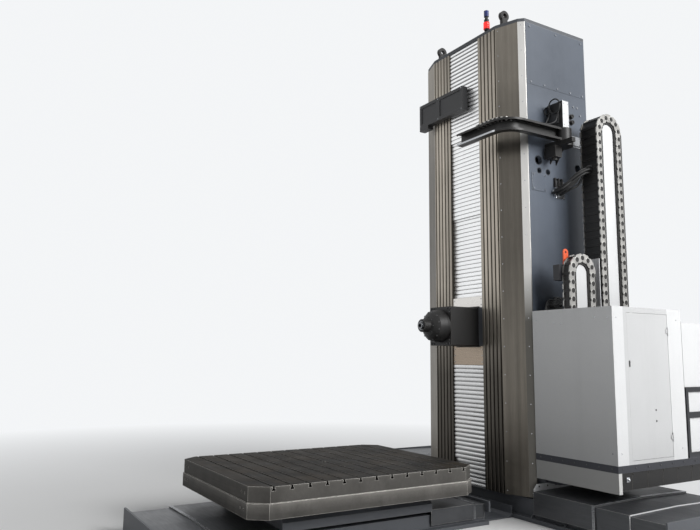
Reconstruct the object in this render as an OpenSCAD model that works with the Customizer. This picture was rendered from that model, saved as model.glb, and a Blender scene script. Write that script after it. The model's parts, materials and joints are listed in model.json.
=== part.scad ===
// Floor-type horizontal boring and milling machining centre, in millimetres.
// A tall column travels along X in front of a rotary T-slot table.
// The origin is on the floor under the table's axis: +X along the column bed,
// +Y from the table towards the column, +Z up.

/* [Column] */
// Height of the column's top above the floor
column_top = 8300; // [8250:10:8700]
// Half the width across the column's painted sides
column_half = 1330; // [1330:5:1400]
// Distance from the table's axis to the front covers
front_y = 2830; // [2800:10:2900]
// Depth of the column casting
casting_depth = 1410; // [1350:10:1600]
// Half the width of the slot that the headstock runs in
slot_half = 440; // [436:1:447]
// Depth of that slot
slot_depth = 1110; // [1060:10:1150]
// Thickness of the column casting's walls
column_wall = 70; // [50:5:90]
// Height of the column casting's foot above the floor
casting_foot = 900; // [860:10:940]
// Thickness of the plate on top of the column
cap_t = 60; // [40:5:80]

/* [Front covers] */
// Pitch of the rounded slats
slat_pitch = 74; // [70:1:78]
// Depth of one slatted cover, from crest to back
slat_depth = 16; // [12:1:18]
// Step in depth from one slatted cover to the next
slat_step = 22; // [20:1:25]
// Overlap kept between two slatted covers at the ends of the travel
slat_overlap = 55; // [40:5:60]
// Inner edge of the ribbed covers, from the centre plane
rib_in = 400; // [400:1:410]
// Outer edge of the ribs, from the centre plane
rib_out = 853; // [840:1:870]
// Number of ribs on each side
rib_count = 5; // [4:1:6]
// Depth of the grooves between the ribs
rib_depth = 22; // [15:1:28]
// Thickness of the ribbed cover's sheet
cover_sheet = 16; // [10:1:18]
// Height of the ribbed covers' lower edge above the floor
cover_foot = 350; // [345:5:380]

/* [Headstock and ram] */
// Height of the spindle's axis above the floor at rest
spindle_z = 3040; // [3000:10:3100]
// Travel of the headstock upwards from rest
head_up = 2700; // [2600:10:2720]
// Travel of the headstock downwards from rest
head_down = 400; // [300:10:400]
// Width of the square ram
ram_w = 560; // [520:10:600]
// Height of the square ram
ram_h = 660; // [600:10:680]
// Length of the ram
ram_len = 1720; // [1650:10:1760]
// How far the ram stands out of the front covers at rest
ram_out = 595; // [560:1:620]
// Wall of the tube that guides the ram
ram_guide_wall = 58; // [40:1:60]
// Height of the plain plate below the ram
plate_low = 325; // [300:5:340]
// Height of the plain plate above the ram
plate_high = 195; // [150:5:220]
// Radius of the spindle
spindle_r = 80; // [60:1:90]
// How far the spindle stands out of the ram
spindle_out = 415; // [412:1:440]
// How far the spindle reaches into the ram
spindle_in = 1240; // [1200:10:1260]
// Radius of the tool bore in the spindle's nose
taper_r = 34.925; // [34.925:0.001:34.925]

/* [Column bed] */
// Travel of the column to each side of its place at rest
column_travel = 1100; // [1000:10:1200]
// How far the column's saddle stands past the column's side
saddle_ledge = 70; // [60:5:80]
// Width of the bed's body
bed_w = 1960; // [1900:10:2000]
// Height of the bed's top above the floor
bed_top = 330; // [310:5:340]
// Distance from the bed's centre line to each rail
bed_rail_y = 680; // [640:10:720]
// Overlap kept between two telescopic covers
way_overlap = 40; // [30:5:60]
// Step in size from one telescopic cover to the next
way_step = 20; // [18:1:22]
// Thickness of the telescopic covers' sheet
way_sheet = 8; // [6:1:10]

/* [Rotary table] */
// Length of the table's top along X
table_x = 2850; // [2700:10:2900]
// Length of the table's top along Y
table_y = 3560; // [3500:10:3600]
// Height of the table's top above the floor
table_top = 940; // [920:5:960]
// Thickness of the table
table_t = 390; // [360:5:400]
// Corner chamfer along Y
chamfer_y = 225; // [180:5:230]
// Corner chamfer along X
chamfer_x = 170; // [120:5:200]
// Pitch of the T-slots
slot_pitch = 250; // [240:1:250]
// Width of a T-slot's neck
slot_neck = 28; // [22:1:36]
// Depth of a T-slot's neck
slot_neck_h = 30; // [25:1:35]
// Width of a T-slot's head
slot_head = 50; // [46:1:56]
// Height of a T-slot's head
slot_head_h = 22; // [20:1:24]
// Radius of the centring bore in the table
centre_r = 40; // [30:1:50]

/* [Table bed] */
// Half the width of the table's bed
table_bed_half = 1000; // [960:10:1040]
// Height of the table bed's top above the floor
table_bed_top = 230; // [220:5:235]
// Half the length of the table's saddle along Y
table_saddle_half = 1200; // [1180:10:1220]
// Travel of the table away from the column
table_forward = 600; // [500:10:700]
// Travel of the table towards the column
table_backward = 200; // [150:10:200]
// Radius of the hub under the table
hub_r = 300; // [250:10:350]
// Depth of the hub's seat in the saddle
hub_depth = 90; // [60:5:100]

/* [Platform and enclosures] */
// Gap between the column's side and the platform
platform_gap = 39; // [39:1:60]
// Width of the platform
platform_w = 1509; // [1490:1:1560]
// Front of the platform
platform_y0 = 3018; // [3000:1:3050]
// Back of the chain enclosure
enclosure_y1 = 4620; // [4600:5:4650]
// Back of the platform
platform_y1 = 6300; // [6100:10:6500]
// Height of the platform's floor above the foundation
platform_z = 1040; // [1030:5:1060]
// Height of the platform's frame
platform_t = 100; // [90:5:110]
// Height of the chain enclosure's top edge
enclosure_top = 3260; // [3200:10:3320]
// Thickness of the enclosure's folded walls
enclosure_sheet = 16; // [12:1:20]
// Front edge of the enclosure's door
door_y0 = 3330; // [3300:5:3360]
// Back edge of the enclosure's door
door_y1 = 4280; // [4250:5:4300]

/* [Energy chains] */
// Pitch of the chain links
link_pitch = 133; // [125:1:140]
// Height of a chain link
link_h = 140; // [130:1:150]
// Distance from the platform's inner side to the outer side of both chains
chain_out = 631; // [620:1:680]
// Width of the small chain
small_w = 150; // [140:5:170]
// Width of the tall chain
tall_w = 350; // [320:5:370]
// Height of the small chain's top
small_top = 4160; // [4100:10:4200]
// Height of the tall chain's top
tall_top = 6610; // [6500:10:6700]

/* [Service boom] */
// Distance of the boom's pivot from the column's side
boom_standoff = 280; // [275:5:310]
// Distance of the boom's pivot from the table's axis
boom_y = 3620; // [3600:5:3640]
// Height of the boom's lower edge above the floor
boom_z = 6120; // [6110:5:6200]
// Height of the boom's channel
boom_h = 210; // [190:5:220]
// Depth of the boom's channel
boom_d = 120; // [100:5:130]
// Distance from the centre plane to the boom's free end
boom_tip = 450; // [440:5:500]

/* [Fits] */
// Radial clearance of a running fit
fit = 0.05; // [0.02:0.01:0.1]
// Clearance between flat sliding faces
slide_gap = 0.3; // [0.2:0.05:0.5]

/* [Hidden] */
casting_front = front_y + 310;
corner_back = 248;
casting_back = casting_front + casting_depth;
casting_top = column_top - cap_t;
saddle_half = column_half + saddle_ledge;
platform_x0 = column_half + platform_gap;
platform_x1 = platform_x0 + platform_w;
chain_x = platform_x0 + chain_out;
boom_x = column_half + boom_standoff;
bed_cy = casting_front + 830;
bed_y0 = bed_cy - bed_w / 2;
bed_y1 = bed_cy + bed_w / 2;
rail_h = 60;
rail_w = 100;
rail_top = bed_top + rail_h;
saddle_z = rail_top + 10;
way_cover_len = column_travel + way_overlap;
bed_half = saddle_half + way_cover_len + column_travel;
way_top = bed_top + 118;
way_foot = 130;
end_plate = 30;
screw_r = 40;
screw_z = bed_top - 68;
bed_flange = 100;
bed_flange_t = 60;
trough_top = 180;
anchor_r = 21;
anchor_inset = 140;

ram_y0 = front_y - ram_out;
ram_y1 = ram_y0 + ram_len;
plate_bottom = spindle_z - ram_h / 2 - plate_low;
plate_top = spindle_z + ram_h / 2 + plate_high;
head_front = front_y + 120;
head_back = casting_front - 80;
head_half = 800;
head_z0 = spindle_z - 540;
head_z1 = spindle_z + 530;
head_rail_x = 620;
head_rail_w = 90;
head_rail_h = 60;
head_screw_x = 740;
head_screw_r = 32;
slat_front = front_y + 20;
slat_half = rib_in - slide_gap;
ram_bore_r = 150;
ram_bore_len = spindle_in + 60;
housing_len = spindle_out - 5;
nose_len = 25;
taper_len = 120;

lower_foot = cover_foot - 30;
upper_slats = ceil((casting_top - plate_top + head_down + 2 * slat_overlap) / 3 / slat_pitch);
lower_slats = ceil((plate_bottom - lower_foot + head_up + 2 * slat_overlap) / 3 / slat_pitch);
upper_len = upper_slats * slat_pitch;
lower_len = lower_slats * slat_pitch;
upper_rest = (plate_top + casting_top - upper_len) / 2;
lower_rest = (plate_bottom - lower_len + lower_foot) / 2;

table_z = table_top - table_t;
table_rail_w = 90;
table_rail_h = 50;
table_rail_top = table_bed_top + table_rail_h;
table_rail_x = 750;
table_saddle_z = table_rail_top + 10;
table_saddle_top = 470;
table_screw_z = 175;
table_screw_r = 32;
bearing_r = 1100;
bearing_w = 180;
table_cover_len = table_forward + table_backward + way_overlap;
table_front = table_saddle_half + table_cover_len + table_forward;
table_back = table_saddle_half + table_cover_len + table_backward;
slot_count = 13;

side_plate_t = 18;
link_notch = 20;
link_inset = 22;
link_flank = 30;
small_rc = 235;
tall_rc = 245;
small_wall_gap = 161;
tall_wall_gap = 9;
small_cy = platform_y0 + enclosure_sheet + small_wall_gap + link_h / 2 + small_rc;
tall_cy = enclosure_y1 - enclosure_sheet - tall_wall_gap - link_h / 2 - tall_rc;
eye_post_x1 = chain_x - small_w - 10;
eye_post_x0 = eye_post_x1 - 50;
eye_post_y = small_cy - small_rc + 65;
eye_post_top = 3990;

boom_bend = 250;
boom_face_y = front_y - 440;
pin_r = 45;
boom_seat_t = 90;

hose_r = 19;
hose_sides = 10;
hose_rings = 14;
hose_squeeze = 0.8;
hose_from = [column_half, 3703, 5323];
hose_to = [chain_x - tall_w + 130, tall_cy - tall_rc - link_h / 2 + link_inset, 5640];
hose_places = [[-84, 0], [0, 34], [84, 0], [-46, -60], [46, -60]];

module box(lo, hi) { translate(lo) cube(hi - lo); }

module along_x(x0, x1) { translate([x0, 0, 0]) rotate([90, 0, 90]) linear_extrude(x1 - x0) children(); }

module along_y(y0, y1) { translate([0, y1, 0]) rotate([90, 0, 0]) linear_extrude(y1 - y0) children(); }

module both_sides() {
    children();
    mirror([1, 0, 0]) children();
}

// Beds and ways

module column_bed() {
    trough = 330;
    floor_z = 180;
    cells = 10;
    cell = 2 * (bed_half - 40) / cells;
    web = 60;
    color("dimgray") {
        difference() {
            along_x(-bed_half, bed_half) polygon([
                [bed_y0 - bed_flange, 0], [bed_y1 + bed_flange, 0], [bed_y1 + bed_flange, bed_flange_t],
                [bed_y1, bed_flange_t], [bed_y1, bed_top], [bed_cy + trough, bed_top],
                [bed_cy + trough, floor_z], [bed_cy - trough, floor_z], [bed_cy - trough, bed_top],
                [bed_y0, bed_top], [bed_y0, bed_flange_t], [bed_y0 - bed_flange, bed_flange_t]]);
            for (i = [0:cells - 1], side = [-1, 1])
                translate([(i - (cells - 1) / 2) * cell, bed_cy + side * bed_rail_y, -1])
                    translate([-(cell - web) / 2, -250, 0]) cube([cell - web, 500, bed_top - web]);
            for (x = [-1, 1] * (bed_half - anchor_inset),
                 y = [bed_y0 - bed_flange / 2, bed_y1 + bed_flange / 2])
                translate([x, y, -1]) cylinder(r = anchor_r, h = bed_flange_t + 2, $fn = 32);
        }
        for (s = [0, 1]) mirror([s, 0, 0])
            box([bed_half, bed_y0 - bed_flange, 0], [bed_half + end_plate, bed_y1 + bed_flange, way_top + 20]);
        for (i = [-5:5], side = [-1, 1]) bed_gusset(i * (bed_half - 340) / 5, side);
    }
}

module bed_gusset(x, side) {
    y = side > 0 ? bed_y1 : bed_y0;
    t = 24;
    along_x(x - t / 2, x + t / 2) polygon([
        [y, bed_flange_t], [y + side * (bed_flange - 20), bed_flange_t], [y, way_foot - 5]]);
}

module column_rails() {
    color("silver") for (side = [-1, 1]) along_x(-bed_half, bed_half)
        translate([bed_cy + side * bed_rail_y, bed_top]) rail_profile(rail_w, rail_h);
}

module rail_profile(w, h) {
    polygon([[-w / 2, 0], [w / 2, 0], [w / 2, h * 0.3], [w * 0.36, h * 0.45], [w * 0.36, h * 0.6],
        [w / 2, h * 0.75], [w / 2, h], [-w / 2, h], [-w / 2, h * 0.75], [-w * 0.36, h * 0.6],
        [-w * 0.36, h * 0.45], [-w / 2, h * 0.3]]);
}

module column_screw() {
    color("silver") translate([-bed_half, bed_cy, screw_z]) rotate([0, 90, 0])
        cylinder(r = screw_r, h = 2 * bed_half, $fn = 48);
}

module chip_trough() {
    w = 1900;
    t = 20;
    back = bed_y0 - bed_flange;
    color("dimgray") along_x(-w / 2, w / 2) polygon([
        [table_back, 0], [back, 0], [back, trough_top], [back - t, trough_top],
        [back - t, 3 * t], [back - 4 * t, t], [table_back + 5 * t, t], [table_back + t, 3 * t],
        [table_back + t, trough_top], [table_back, trough_top]]);
}

module table_bed() {
    flange = 120;
    flange_t = 50;
    trough = 260;
    floor_z = 110;
    color("dimgray") difference() {
        along_y(-table_front, table_back) polygon([
            [-table_bed_half - flange, 0], [table_bed_half + flange, 0],
            [table_bed_half + flange, flange_t], [table_bed_half, flange_t],
            [table_bed_half, table_bed_top], [trough, table_bed_top], [trough, floor_z],
            [-trough, floor_z], [-trough, table_bed_top], [-table_bed_half, table_bed_top],
            [-table_bed_half, flange_t], [-table_bed_half - flange, flange_t]]);
        for (x = [-1, 1] * (table_bed_half + flange / 2),
             y = [-table_front + anchor_inset, table_back - anchor_inset])
            translate([x, y, -1]) cylinder(r = 18, h = flange_t + 2, $fn = 32);
    }
    color("dimgray") {
        box([-table_bed_half - flange, -table_front - end_plate, 0],
            [table_bed_half + flange, -table_front, table_saddle_z + 50]);
        box([-table_bed_half - flange, table_back, trough_top],
            [table_bed_half + flange, table_back + end_plate, table_saddle_z + 50]);
    }
}

module table_rails() {
    color("silver") both_sides() along_y(-table_front, table_back)
        translate([table_rail_x, table_bed_top]) rail_profile(table_rail_w, table_rail_h);
}

module table_screw() {
    color("silver") translate([0, -table_front, table_screw_z]) rotate([-90, 0, 0])
        cylinder(r = table_screw_r, h = table_front + table_back, $fn = 48);
}

// One folded cover: an inverted channel whose end lip wipes the next smaller one
module way_channel(half, top, bottom, len, lip, sheet) {
    ridge = 20;
    module outline(inset) polygon([
        [-half + inset, bottom], [-half + inset, top - ridge - inset], [0, top - inset],
        [half - inset, top - ridge - inset], [half - inset, bottom]]);
    linear_extrude(len) difference() {
        outline(0);
        outline(sheet);
        translate([-half, bottom - 1]) square([2 * half, 1]);
    }
    if (lip > 0) translate([0, 0, len - 20]) linear_extrude(20) difference() {
        outline(sheet);
        outline(sheet + lip);
        translate([-half, bottom - 1]) square([2 * half, 1]);
    }
}

// Covers over the column's bed: size 0 is fixed, 1 is in the middle, 2 rides with the column
module bed_cover(side, size) {
    start = bed_half - way_cover_len - size * column_travel / 2;
    grow = size * way_step;
    mirror([side < 0 ? 1 : 0, 0, 0]) translate([start, bed_cy, 0]) rotate([90, 0, 90])
        way_channel(bed_w / 2 + 50 + grow, way_top + grow, way_foot, way_cover_len,
            size == 0 ? 0 : way_step - way_sheet - slide_gap, way_sheet);
}

// Covers over the table's bed: end -1 is in front, 1 is behind; size 0 is fixed, 1 rides
module table_cover(end, size) {
    y = end < 0 ? table_front : table_back;
    start = size == 0 ? y - table_cover_len : table_saddle_half;
    grow = size * way_step;
    rotate([0, 0, end < 0 ? 180 : 0]) translate([0, start, 0]) rotate([-90, 180, 0])
        way_channel(table_bed_half + 20 + grow, table_rail_top + 30 + grow, 90, table_cover_len,
            size == 0 ? 0 : way_step - way_sheet - slide_gap, way_sheet);
}

// Rotary table on its saddle

module table_saddle() {
    half = table_bed_half + 60;
    nut = 120;
    color("gray") {
        difference() {
            union() {
                along_y(-table_saddle_half, table_saddle_half) polygon([
                    [-half, table_saddle_z], [half, table_saddle_z], [half, 400],
                    [half - 80, table_saddle_top], [-half + 80, table_saddle_top], [-half, 400]]);
                box([-nut, -250, table_screw_z - 55], [nut, 250, table_saddle_z]);
            }
            translate([0, -table_saddle_half - 1, table_screw_z]) rotate([-90, 0, 0])
                cylinder(r = table_screw_r + fit, h = 2 * table_saddle_half + 2, $fn = 48);
            translate([0, 0, table_saddle_top - hub_depth]) cylinder(r = hub_r, h = hub_depth + 1, $fn = 64);
        }
        for (x = [-1, 1] * table_rail_x, y = [-900, 0, 900]) translate([x, y, 0])
            difference() {
                box([-110, -140, table_bed_top + 15], [110, 140, table_saddle_z]);
                box([-table_rail_w / 2 - slide_gap, -141, table_bed_top],
                    [table_rail_w / 2 + slide_gap, 141, table_rail_top + slide_gap]);
            }
    }
}

module table_bearing() {
    h = table_z - table_saddle_top;
    color("silver") translate([0, 0, table_saddle_top]) difference() {
        cylinder(r = bearing_r, h = h - slide_gap, $fn = 96);
        translate([0, 0, -1]) cylinder(r = bearing_r - bearing_w, h = h + 2, $fn = 96);
    }
}

module table_outline(inset) {
    x = table_x / 2 - inset;
    y = table_y / 2 - inset;
    polygon([[x, -y + chamfer_y], [x, y - chamfer_y], [x - chamfer_x, y], [-x + chamfer_x, y],
        [-x, y - chamfer_y], [-x, -y + chamfer_y], [-x + chamfer_x, -y], [x - chamfer_x, -y]]);
}

module rotary_table() {
    band = table_t * 0.49;
    color("darkgray") difference() {
        union() {
            translate([0, 0, table_z]) linear_extrude(band) table_outline(0);
            translate([0, 0, table_z + band]) linear_extrude(table_t - band) table_outline(12);
            translate([0, 0, table_saddle_top - hub_depth + 5])
                cylinder(r = hub_r - fit, h = table_z - table_saddle_top + hub_depth, $fn = 64);
        }
        for (i = [0:slot_count - 1]) translate([0, (i - (slot_count - 1) / 2) * slot_pitch, table_top])
            t_slot();
        translate([0, 0, table_top - 150]) cylinder(r = centre_r, h = 151, $fn = 64);
        for (x = [-1, 1] * (table_x / 2 - 330), dx = [-55, 55], z = [0.27, 0.76])
            translate([x + dx, -table_y / 2 - 1, table_z + z * table_t]) rotate([-90, 0, 0])
                cylinder(r = 14, h = 50, $fn = 24);
    }
}

module t_slot() {
    l = table_x + 2;
    translate([-l / 2, -slot_neck / 2, -slot_neck_h]) cube([l, slot_neck, slot_neck_h + 1]);
    translate([-l / 2, -slot_head / 2, -slot_neck_h - slot_head_h]) cube([l, slot_head, slot_head_h]);
}

// Column and what it stands on

module column_saddle() {
    rear_ledge = 160;
    back = bed_cy + bed_rail_y + rear_ledge;
    front = head_front;
    color("dimgray") difference() {
        translate([0, 0, saddle_z]) linear_extrude(casting_foot - saddle_z) polygon([
            [-rib_out + 30, front], [rib_out - 30, front], [column_half - 110, front + 160],
            [column_half - 30, casting_front + 20], [saddle_half, casting_front + 20],
            [saddle_half, back], [-saddle_half, back], [-saddle_half, casting_front + 20],
            [-column_half + 30, casting_front + 20], [-column_half + 110, front + 160]]);
        for (x = [-1, 0, 1], y = [bed_cy - 470, bed_cy + 150])
            box([x * 800 - 330, y, saddle_z - 1], [x * 800 + 330, y + 320, casting_foot - 90]);
    }
}

module saddle_carriages() {
    end = saddle_half - 250;
    color("gray") for (side = [-1, 1], x = [-end, 0, end]) translate([x, bed_cy + side * bed_rail_y, 0])
        difference() {
            box([-160, -110, bed_top + 15], [160, 110, saddle_z]);
            box([-161, -rail_w / 2 - slide_gap, bed_top], [161, rail_w / 2 + slide_gap, rail_top + slide_gap]);
        }
}

module saddle_drive() {
    color("gray") difference() {
        union() {
            box([-180, bed_cy - 120, screw_z - 65], [180, bed_cy + 120, saddle_z]);
            translate([180, bed_cy + 190, screw_z + 10]) rotate([0, 90, 0]) cylinder(r = 60, h = 260, $fn = 48);
            box([-60, bed_cy + 120, screw_z - 50], [180, bed_cy + 255, screw_z + 75]);
        }
        translate([-181, bed_cy, screw_z]) rotate([0, 90, 0]) cylinder(r = screw_r + fit, h = 362, $fn = 48);
    }
}

module column() {
    cell_x0 = slot_half + column_wall;
    cell_x1 = column_half - column_wall;
    color("slategray") difference() {
        box([-column_half, casting_front, casting_foot], [column_half, casting_back, casting_top]);
        box([-slot_half, casting_front - 1, casting_foot - 1],
            [slot_half, casting_front + slot_depth, casting_top - 120]);
        both_sides() box([cell_x0, casting_front + column_wall, casting_foot - 1],
            [cell_x1, casting_back - column_wall, casting_top - 90]);
        side_hole(3300, 5822, 75);
        side_hole(3316, 5644, 45);
        side_hole(3524, 5643, 45);
        side_hole(4274, 5814, 65);
    }
    color("slategray") both_sides() box([column_half - 30, front_y + corner_back, casting_foot],
        [column_half, casting_front, casting_top]);
}

module side_hole(y, z, r) {
    translate([column_half - column_wall - 1, y, z]) rotate([0, 90, 0])
        cylinder(r = r, h = column_wall + 2, $fn = 48);
}

module headstock_rails() {
    color("silver") both_sides()
        box([head_rail_x - head_rail_w / 2, casting_front - head_rail_h, casting_foot],
            [head_rail_x + head_rail_w / 2, casting_front, casting_top]);
}

module headstock_screws() {
    color("silver") both_sides() translate([head_screw_x, (head_front + head_back) / 2, casting_foot])
        cylinder(r = head_screw_r, h = casting_top - casting_foot, $fn = 48);
}

// Outline of the right front cover, seen from above
function cover_outline() = let (pitch = (rib_out - rib_in) / rib_count, low = front_y + rib_depth) concat(
    [[rib_in, front_y + 92]],
    [for (i = [0:rib_count - 1], p = [[0, front_y], [0.56, front_y], [0.68, low], [0.88, low]])
        [rib_in + (i + p[0]) * pitch, p[1]]],
    [[rib_out, front_y], [column_half - 86, front_y + 149], [column_half - 4, front_y + 231],
        [column_half - 4, front_y + corner_back]]);

module front_cover() {
    outer = cover_outline();
    last = len(outer) - 1;
    inner = [for (i = [last:-1:0]) outer[i] + [i < 2 ? 10 : i < last - 2 ? 0 : -12,
        i == 0 || i == last ? 0 : i == last - 1 ? 6 : cover_sheet]];
    translate([0, 0, cover_foot]) linear_extrude(casting_top - cover_foot) polygon(concat(outer, inner));
}

module column_cap() {
    y0 = front_y + 6;
    color("gray") translate([0, 0, casting_top]) linear_extrude(cap_t) polygon([
        [-rib_out, y0], [rib_out, y0], [column_half - 86, y0 + 149], [column_half - 4, y0 + 231],
        [column_half, casting_front], [column_half, casting_back], [-column_half, casting_back],
        [-column_half, casting_front], [-column_half + 4, y0 + 231], [-column_half + 86, y0 + 149]]);
}

module beacon_place(z) { translate([357, front_y + 270, column_top + z]) children(); }

module beacon_body() {
    color("black") {
        beacon_place(0) cylinder(r = 22, h = 190, $fn = 32);
        beacon_place(190) cylinder(r = 45, h = 30, $fn = 32);
        beacon_place(340) cylinder(r = 45, h = 60, $fn = 32);
        beacon_place(400) cylinder(r = 30, h = 60, $fn = 32);
    }
}

module beacon_red_lens() { color("red") beacon_place(220) cylinder(r = 58, h = 120, $fn = 32); }

module beacon_blue_lens() { color("navy") beacon_place(460) cylinder(r = 45, h = 110, $fn = 32); }

module lifting_lugs() {
    t = 70;
    web = 120;
    eye_z = 320;
    color("black") for (x = [-1030, 730], y = [casting_front + 30, casting_back - 150])
        translate([x, y, column_top]) difference() {
            union() {
                translate([-90, -web / 2, 0]) cube([180, web, 30]);
                translate([-t / 2, 0, eye_z]) rotate([0, 90, 0]) cylinder(r = 95, h = t, $fn = 48);
                translate([-t / 2, -web / 2, 20]) cube([t, web, eye_z - 80]);
            }
            translate([-t / 2 - 1, 0, eye_z]) rotate([0, 90, 0]) cylinder(r = 45, h = t + 2, $fn = 48);
        }
}

// Slatted covers: the crest of each slat is a shallow arc
module slat_profile(count) {
    arc = [[0, 1], [0.12, 0.45], [0.32, 0.1], [0.5, 0], [0.68, 0.1], [0.88, 0.45]];
    polygon(concat(
        [for (i = [0:count - 1], p = arc) [p[1] * slat_depth * 0.6, (i + p[0]) * slat_pitch]],
        [[slat_depth * 0.6, count * slat_pitch], [slat_depth, count * slat_pitch], [slat_depth, 0]]));
}

module slat_cover(layer, z0, count, lip) {
    y = slat_front + layer * slat_step;
    translate([0, y, z0]) {
        along_x(-slat_half, slat_half) slat_profile(count);
        if (lip) box([-slat_half, slat_depth, 0], [slat_half, slat_step - slide_gap, 24]);
    }
}

// Brackets that hold the lower fixed cover to the column's saddle
module lower_cover_brackets() {
    y = slat_front + 2 * slat_step + slat_depth;
    for (x = [-1, 1] * 300) box([x - 30, y, saddle_z + 40], [x + 30, head_front, casting_foot - 40]);
}

// Headstock, ram and spindle

module headstock() {
    gap = slide_gap + 0.1;
    guide = ram_w / 2 + ram_guide_wall;
    color("gray") difference() {
        union() {
            box([-head_half, head_front, head_z0], [head_half, head_back, head_z1]);
            box([-guide, head_back, spindle_z - ram_h / 2 - 60], [guide, ram_y1 - 20, spindle_z + ram_h / 2 + 60]);
            both_sides() for (z = [head_z0, head_z1 - 300])
                box([head_rail_x - 100, head_back, z], [head_rail_x + 100, casting_front - 15, z + 300]);
            both_sides() box([ram_w / 2 + gap, slat_front, spindle_z - ram_h / 2],
                [slat_half, head_front, spindle_z + ram_h / 2]);
        }
        box([-ram_w / 2 - gap, head_front - 1, spindle_z - ram_h / 2 - gap],
            [ram_w / 2 + gap, ram_y1, spindle_z + ram_h / 2 + gap]);
        both_sides() {
            box([head_rail_x - head_rail_w / 2 - slide_gap, casting_front - head_rail_h - slide_gap, head_z0 - 1],
                [head_rail_x + head_rail_w / 2 + slide_gap, casting_front, head_z1 + 1]);
            translate([head_screw_x, (head_front + head_back) / 2, head_z0 - 1])
                cylinder(r = head_screw_r + fit, h = head_z1 - head_z0 + 2, $fn = 48);
        }
    }
}

module ram_cover_plates() {
    gap = 4;
    t = 12;
    color("lightgray") for (span = [[plate_bottom, spindle_z - ram_h / 2 - gap],
                                    [spindle_z + ram_h / 2 + gap, plate_top]]) {
        box([-slat_half, slat_front, span[0]], [slat_half, slat_front + t, span[1]]);
        for (x = [-1, 1] * 300)
            box([x - 40, slat_front + t, span[0] < head_z0 ? head_z0 : span[0]],
                [x + 40, head_front, span[1] < head_z1 ? span[1] : head_z1]);
        box([-slat_half, slat_front + t, span[0] < head_z0 ? span[0] : span[1] - 20],
            [slat_half, slat_front + 2 * slat_step + slat_depth, span[0] < head_z0 ? span[0] + 20 : span[1]]);
    }
}

module ram() {
    edge = 14;
    w = ram_w / 2;
    h = ram_h / 2;
    color("black") difference() {
        translate([0, 0, spindle_z]) along_y(ram_y0, ram_y1) polygon([
            [-w, -h + edge], [-w + edge, -h], [w - edge, -h], [w, -h + edge],
            [w, h - edge], [w - edge, h], [-w + edge, h], [-w, h - edge]]);
        translate([0, ram_y0 - 1, spindle_z]) rotate([-90, 0, 0])
            cylinder(r = ram_bore_r, h = ram_bore_len + 1, $fn = 64);
    }
}

module spindle_housing() {
    r = ram_w / 2 - 2;
    nose = spindle_r + 30;
    end = housing_len;
    color("black") translate([0, ram_y0, spindle_z]) rotate([90, 0, 0]) difference() {
        rotate_extrude($fn = 64) polygon([[0, 0], [r, 0], [r, 60], [r - 8, 130], [r - 26, 190],
            [r - 63, 232], [165, 262], [nose + 12, 276], [nose, 280], [nose, end - 8], [nose - 6, end],
            [0, end]]);
        translate([0, 0, -1]) cylinder(r = spindle_r + 8, h = end + 2, $fn = 64);
    }
}

module spindle_bearings() {
    color("silver") for (y = [ram_y0 + 20, ram_y0 + 160, ram_y0 + 1100])
        translate([0, y, spindle_z]) rotate([-90, 0, 0]) difference() {
            cylinder(r = ram_bore_r, h = 80, $fn = 64);
            translate([0, 0, -1]) cylinder(r = spindle_r + fit, h = 82, $fn = 64);
        }
}

module spindle() {
    color("silver") translate([0, ram_y0 - spindle_out, spindle_z]) rotate([-90, 0, 0]) difference() {
        union() {
            cylinder(r = spindle_r, h = spindle_out + spindle_in, $fn = 64);
            translate([0, 0, -nose_len]) cylinder(r = spindle_r - 18, h = nose_len + 1, $fn = 64);
        }
        translate([0, 0, -nose_len - 1]) cylinder(r = taper_r, h = taper_len + 1, $fn = 64);
    }
}

// Things on the column

module lamp_box() {
    x0 = -1165;
    x1 = 110;
    z0 = 6910;
    h = 520;
    d = 130;
    color("dimgray") difference() {
        union() {
            box([x0, front_y - d, z0 + 70], [x1, front_y, z0 + h]);
            box([x0, front_y - d, z0], [x0 + 260, front_y, z0 + 70]);
        }
        box([x0 + 60, front_y - d - 1, z0 + 130], [x0 + 520, front_y - d + 14, z0 + h - 60]);
        box([x0 + 620, front_y - d - 1, z0 + 130], [x1 - 60, front_y - d + 14, z0 + h - 60]);
    }
}

module boom_bracket() {
    top = boom_z - slide_gap;
    r = 150;
    foot = top - boom_seat_t;
    color("black") {
        box([column_half, boom_y - r, foot], [boom_x, boom_y + r, top]);
        translate([boom_x, boom_y, foot]) cylinder(r = r, h = boom_seat_t, $fn = 48);
        translate([boom_x, boom_y, top]) cylinder(r = pin_r, h = boom_h, $fn = 48);
        for (y = [boom_y - 40, boom_y + 100]) along_y(y, y + 20)
            polygon([[column_half, foot], [boom_x - 120, foot], [column_half, foot - 240]]);
        box([column_half, boom_y - r, foot], [column_half + 580, boom_y - r + 80, foot + 70]);
    }
}

module boom_drive() {
    top = boom_z - slide_gap - boom_seat_t;
    h = 190;
    color("black") {
        box([boom_x - 240, boom_y - 210, top - h], [boom_x, boom_y - 60, top]);
        translate([boom_x - 90, boom_y - 135, top - h - 40]) cylinder(r = 45, h = 41, $fn = 48);
    }
}

module boom_channel() {
    t = 14;
    lip = 34;
    polygon([[0, 0], [boom_d, 0], [boom_d, lip], [boom_d - t, lip], [boom_d - t, t], [t, t],
        [t, boom_h - t], [boom_d - t, boom_h - t], [boom_d - t, boom_h - lip], [boom_d, boom_h - lip],
        [boom_d, boom_h], [0, boom_h]]);
}

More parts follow.
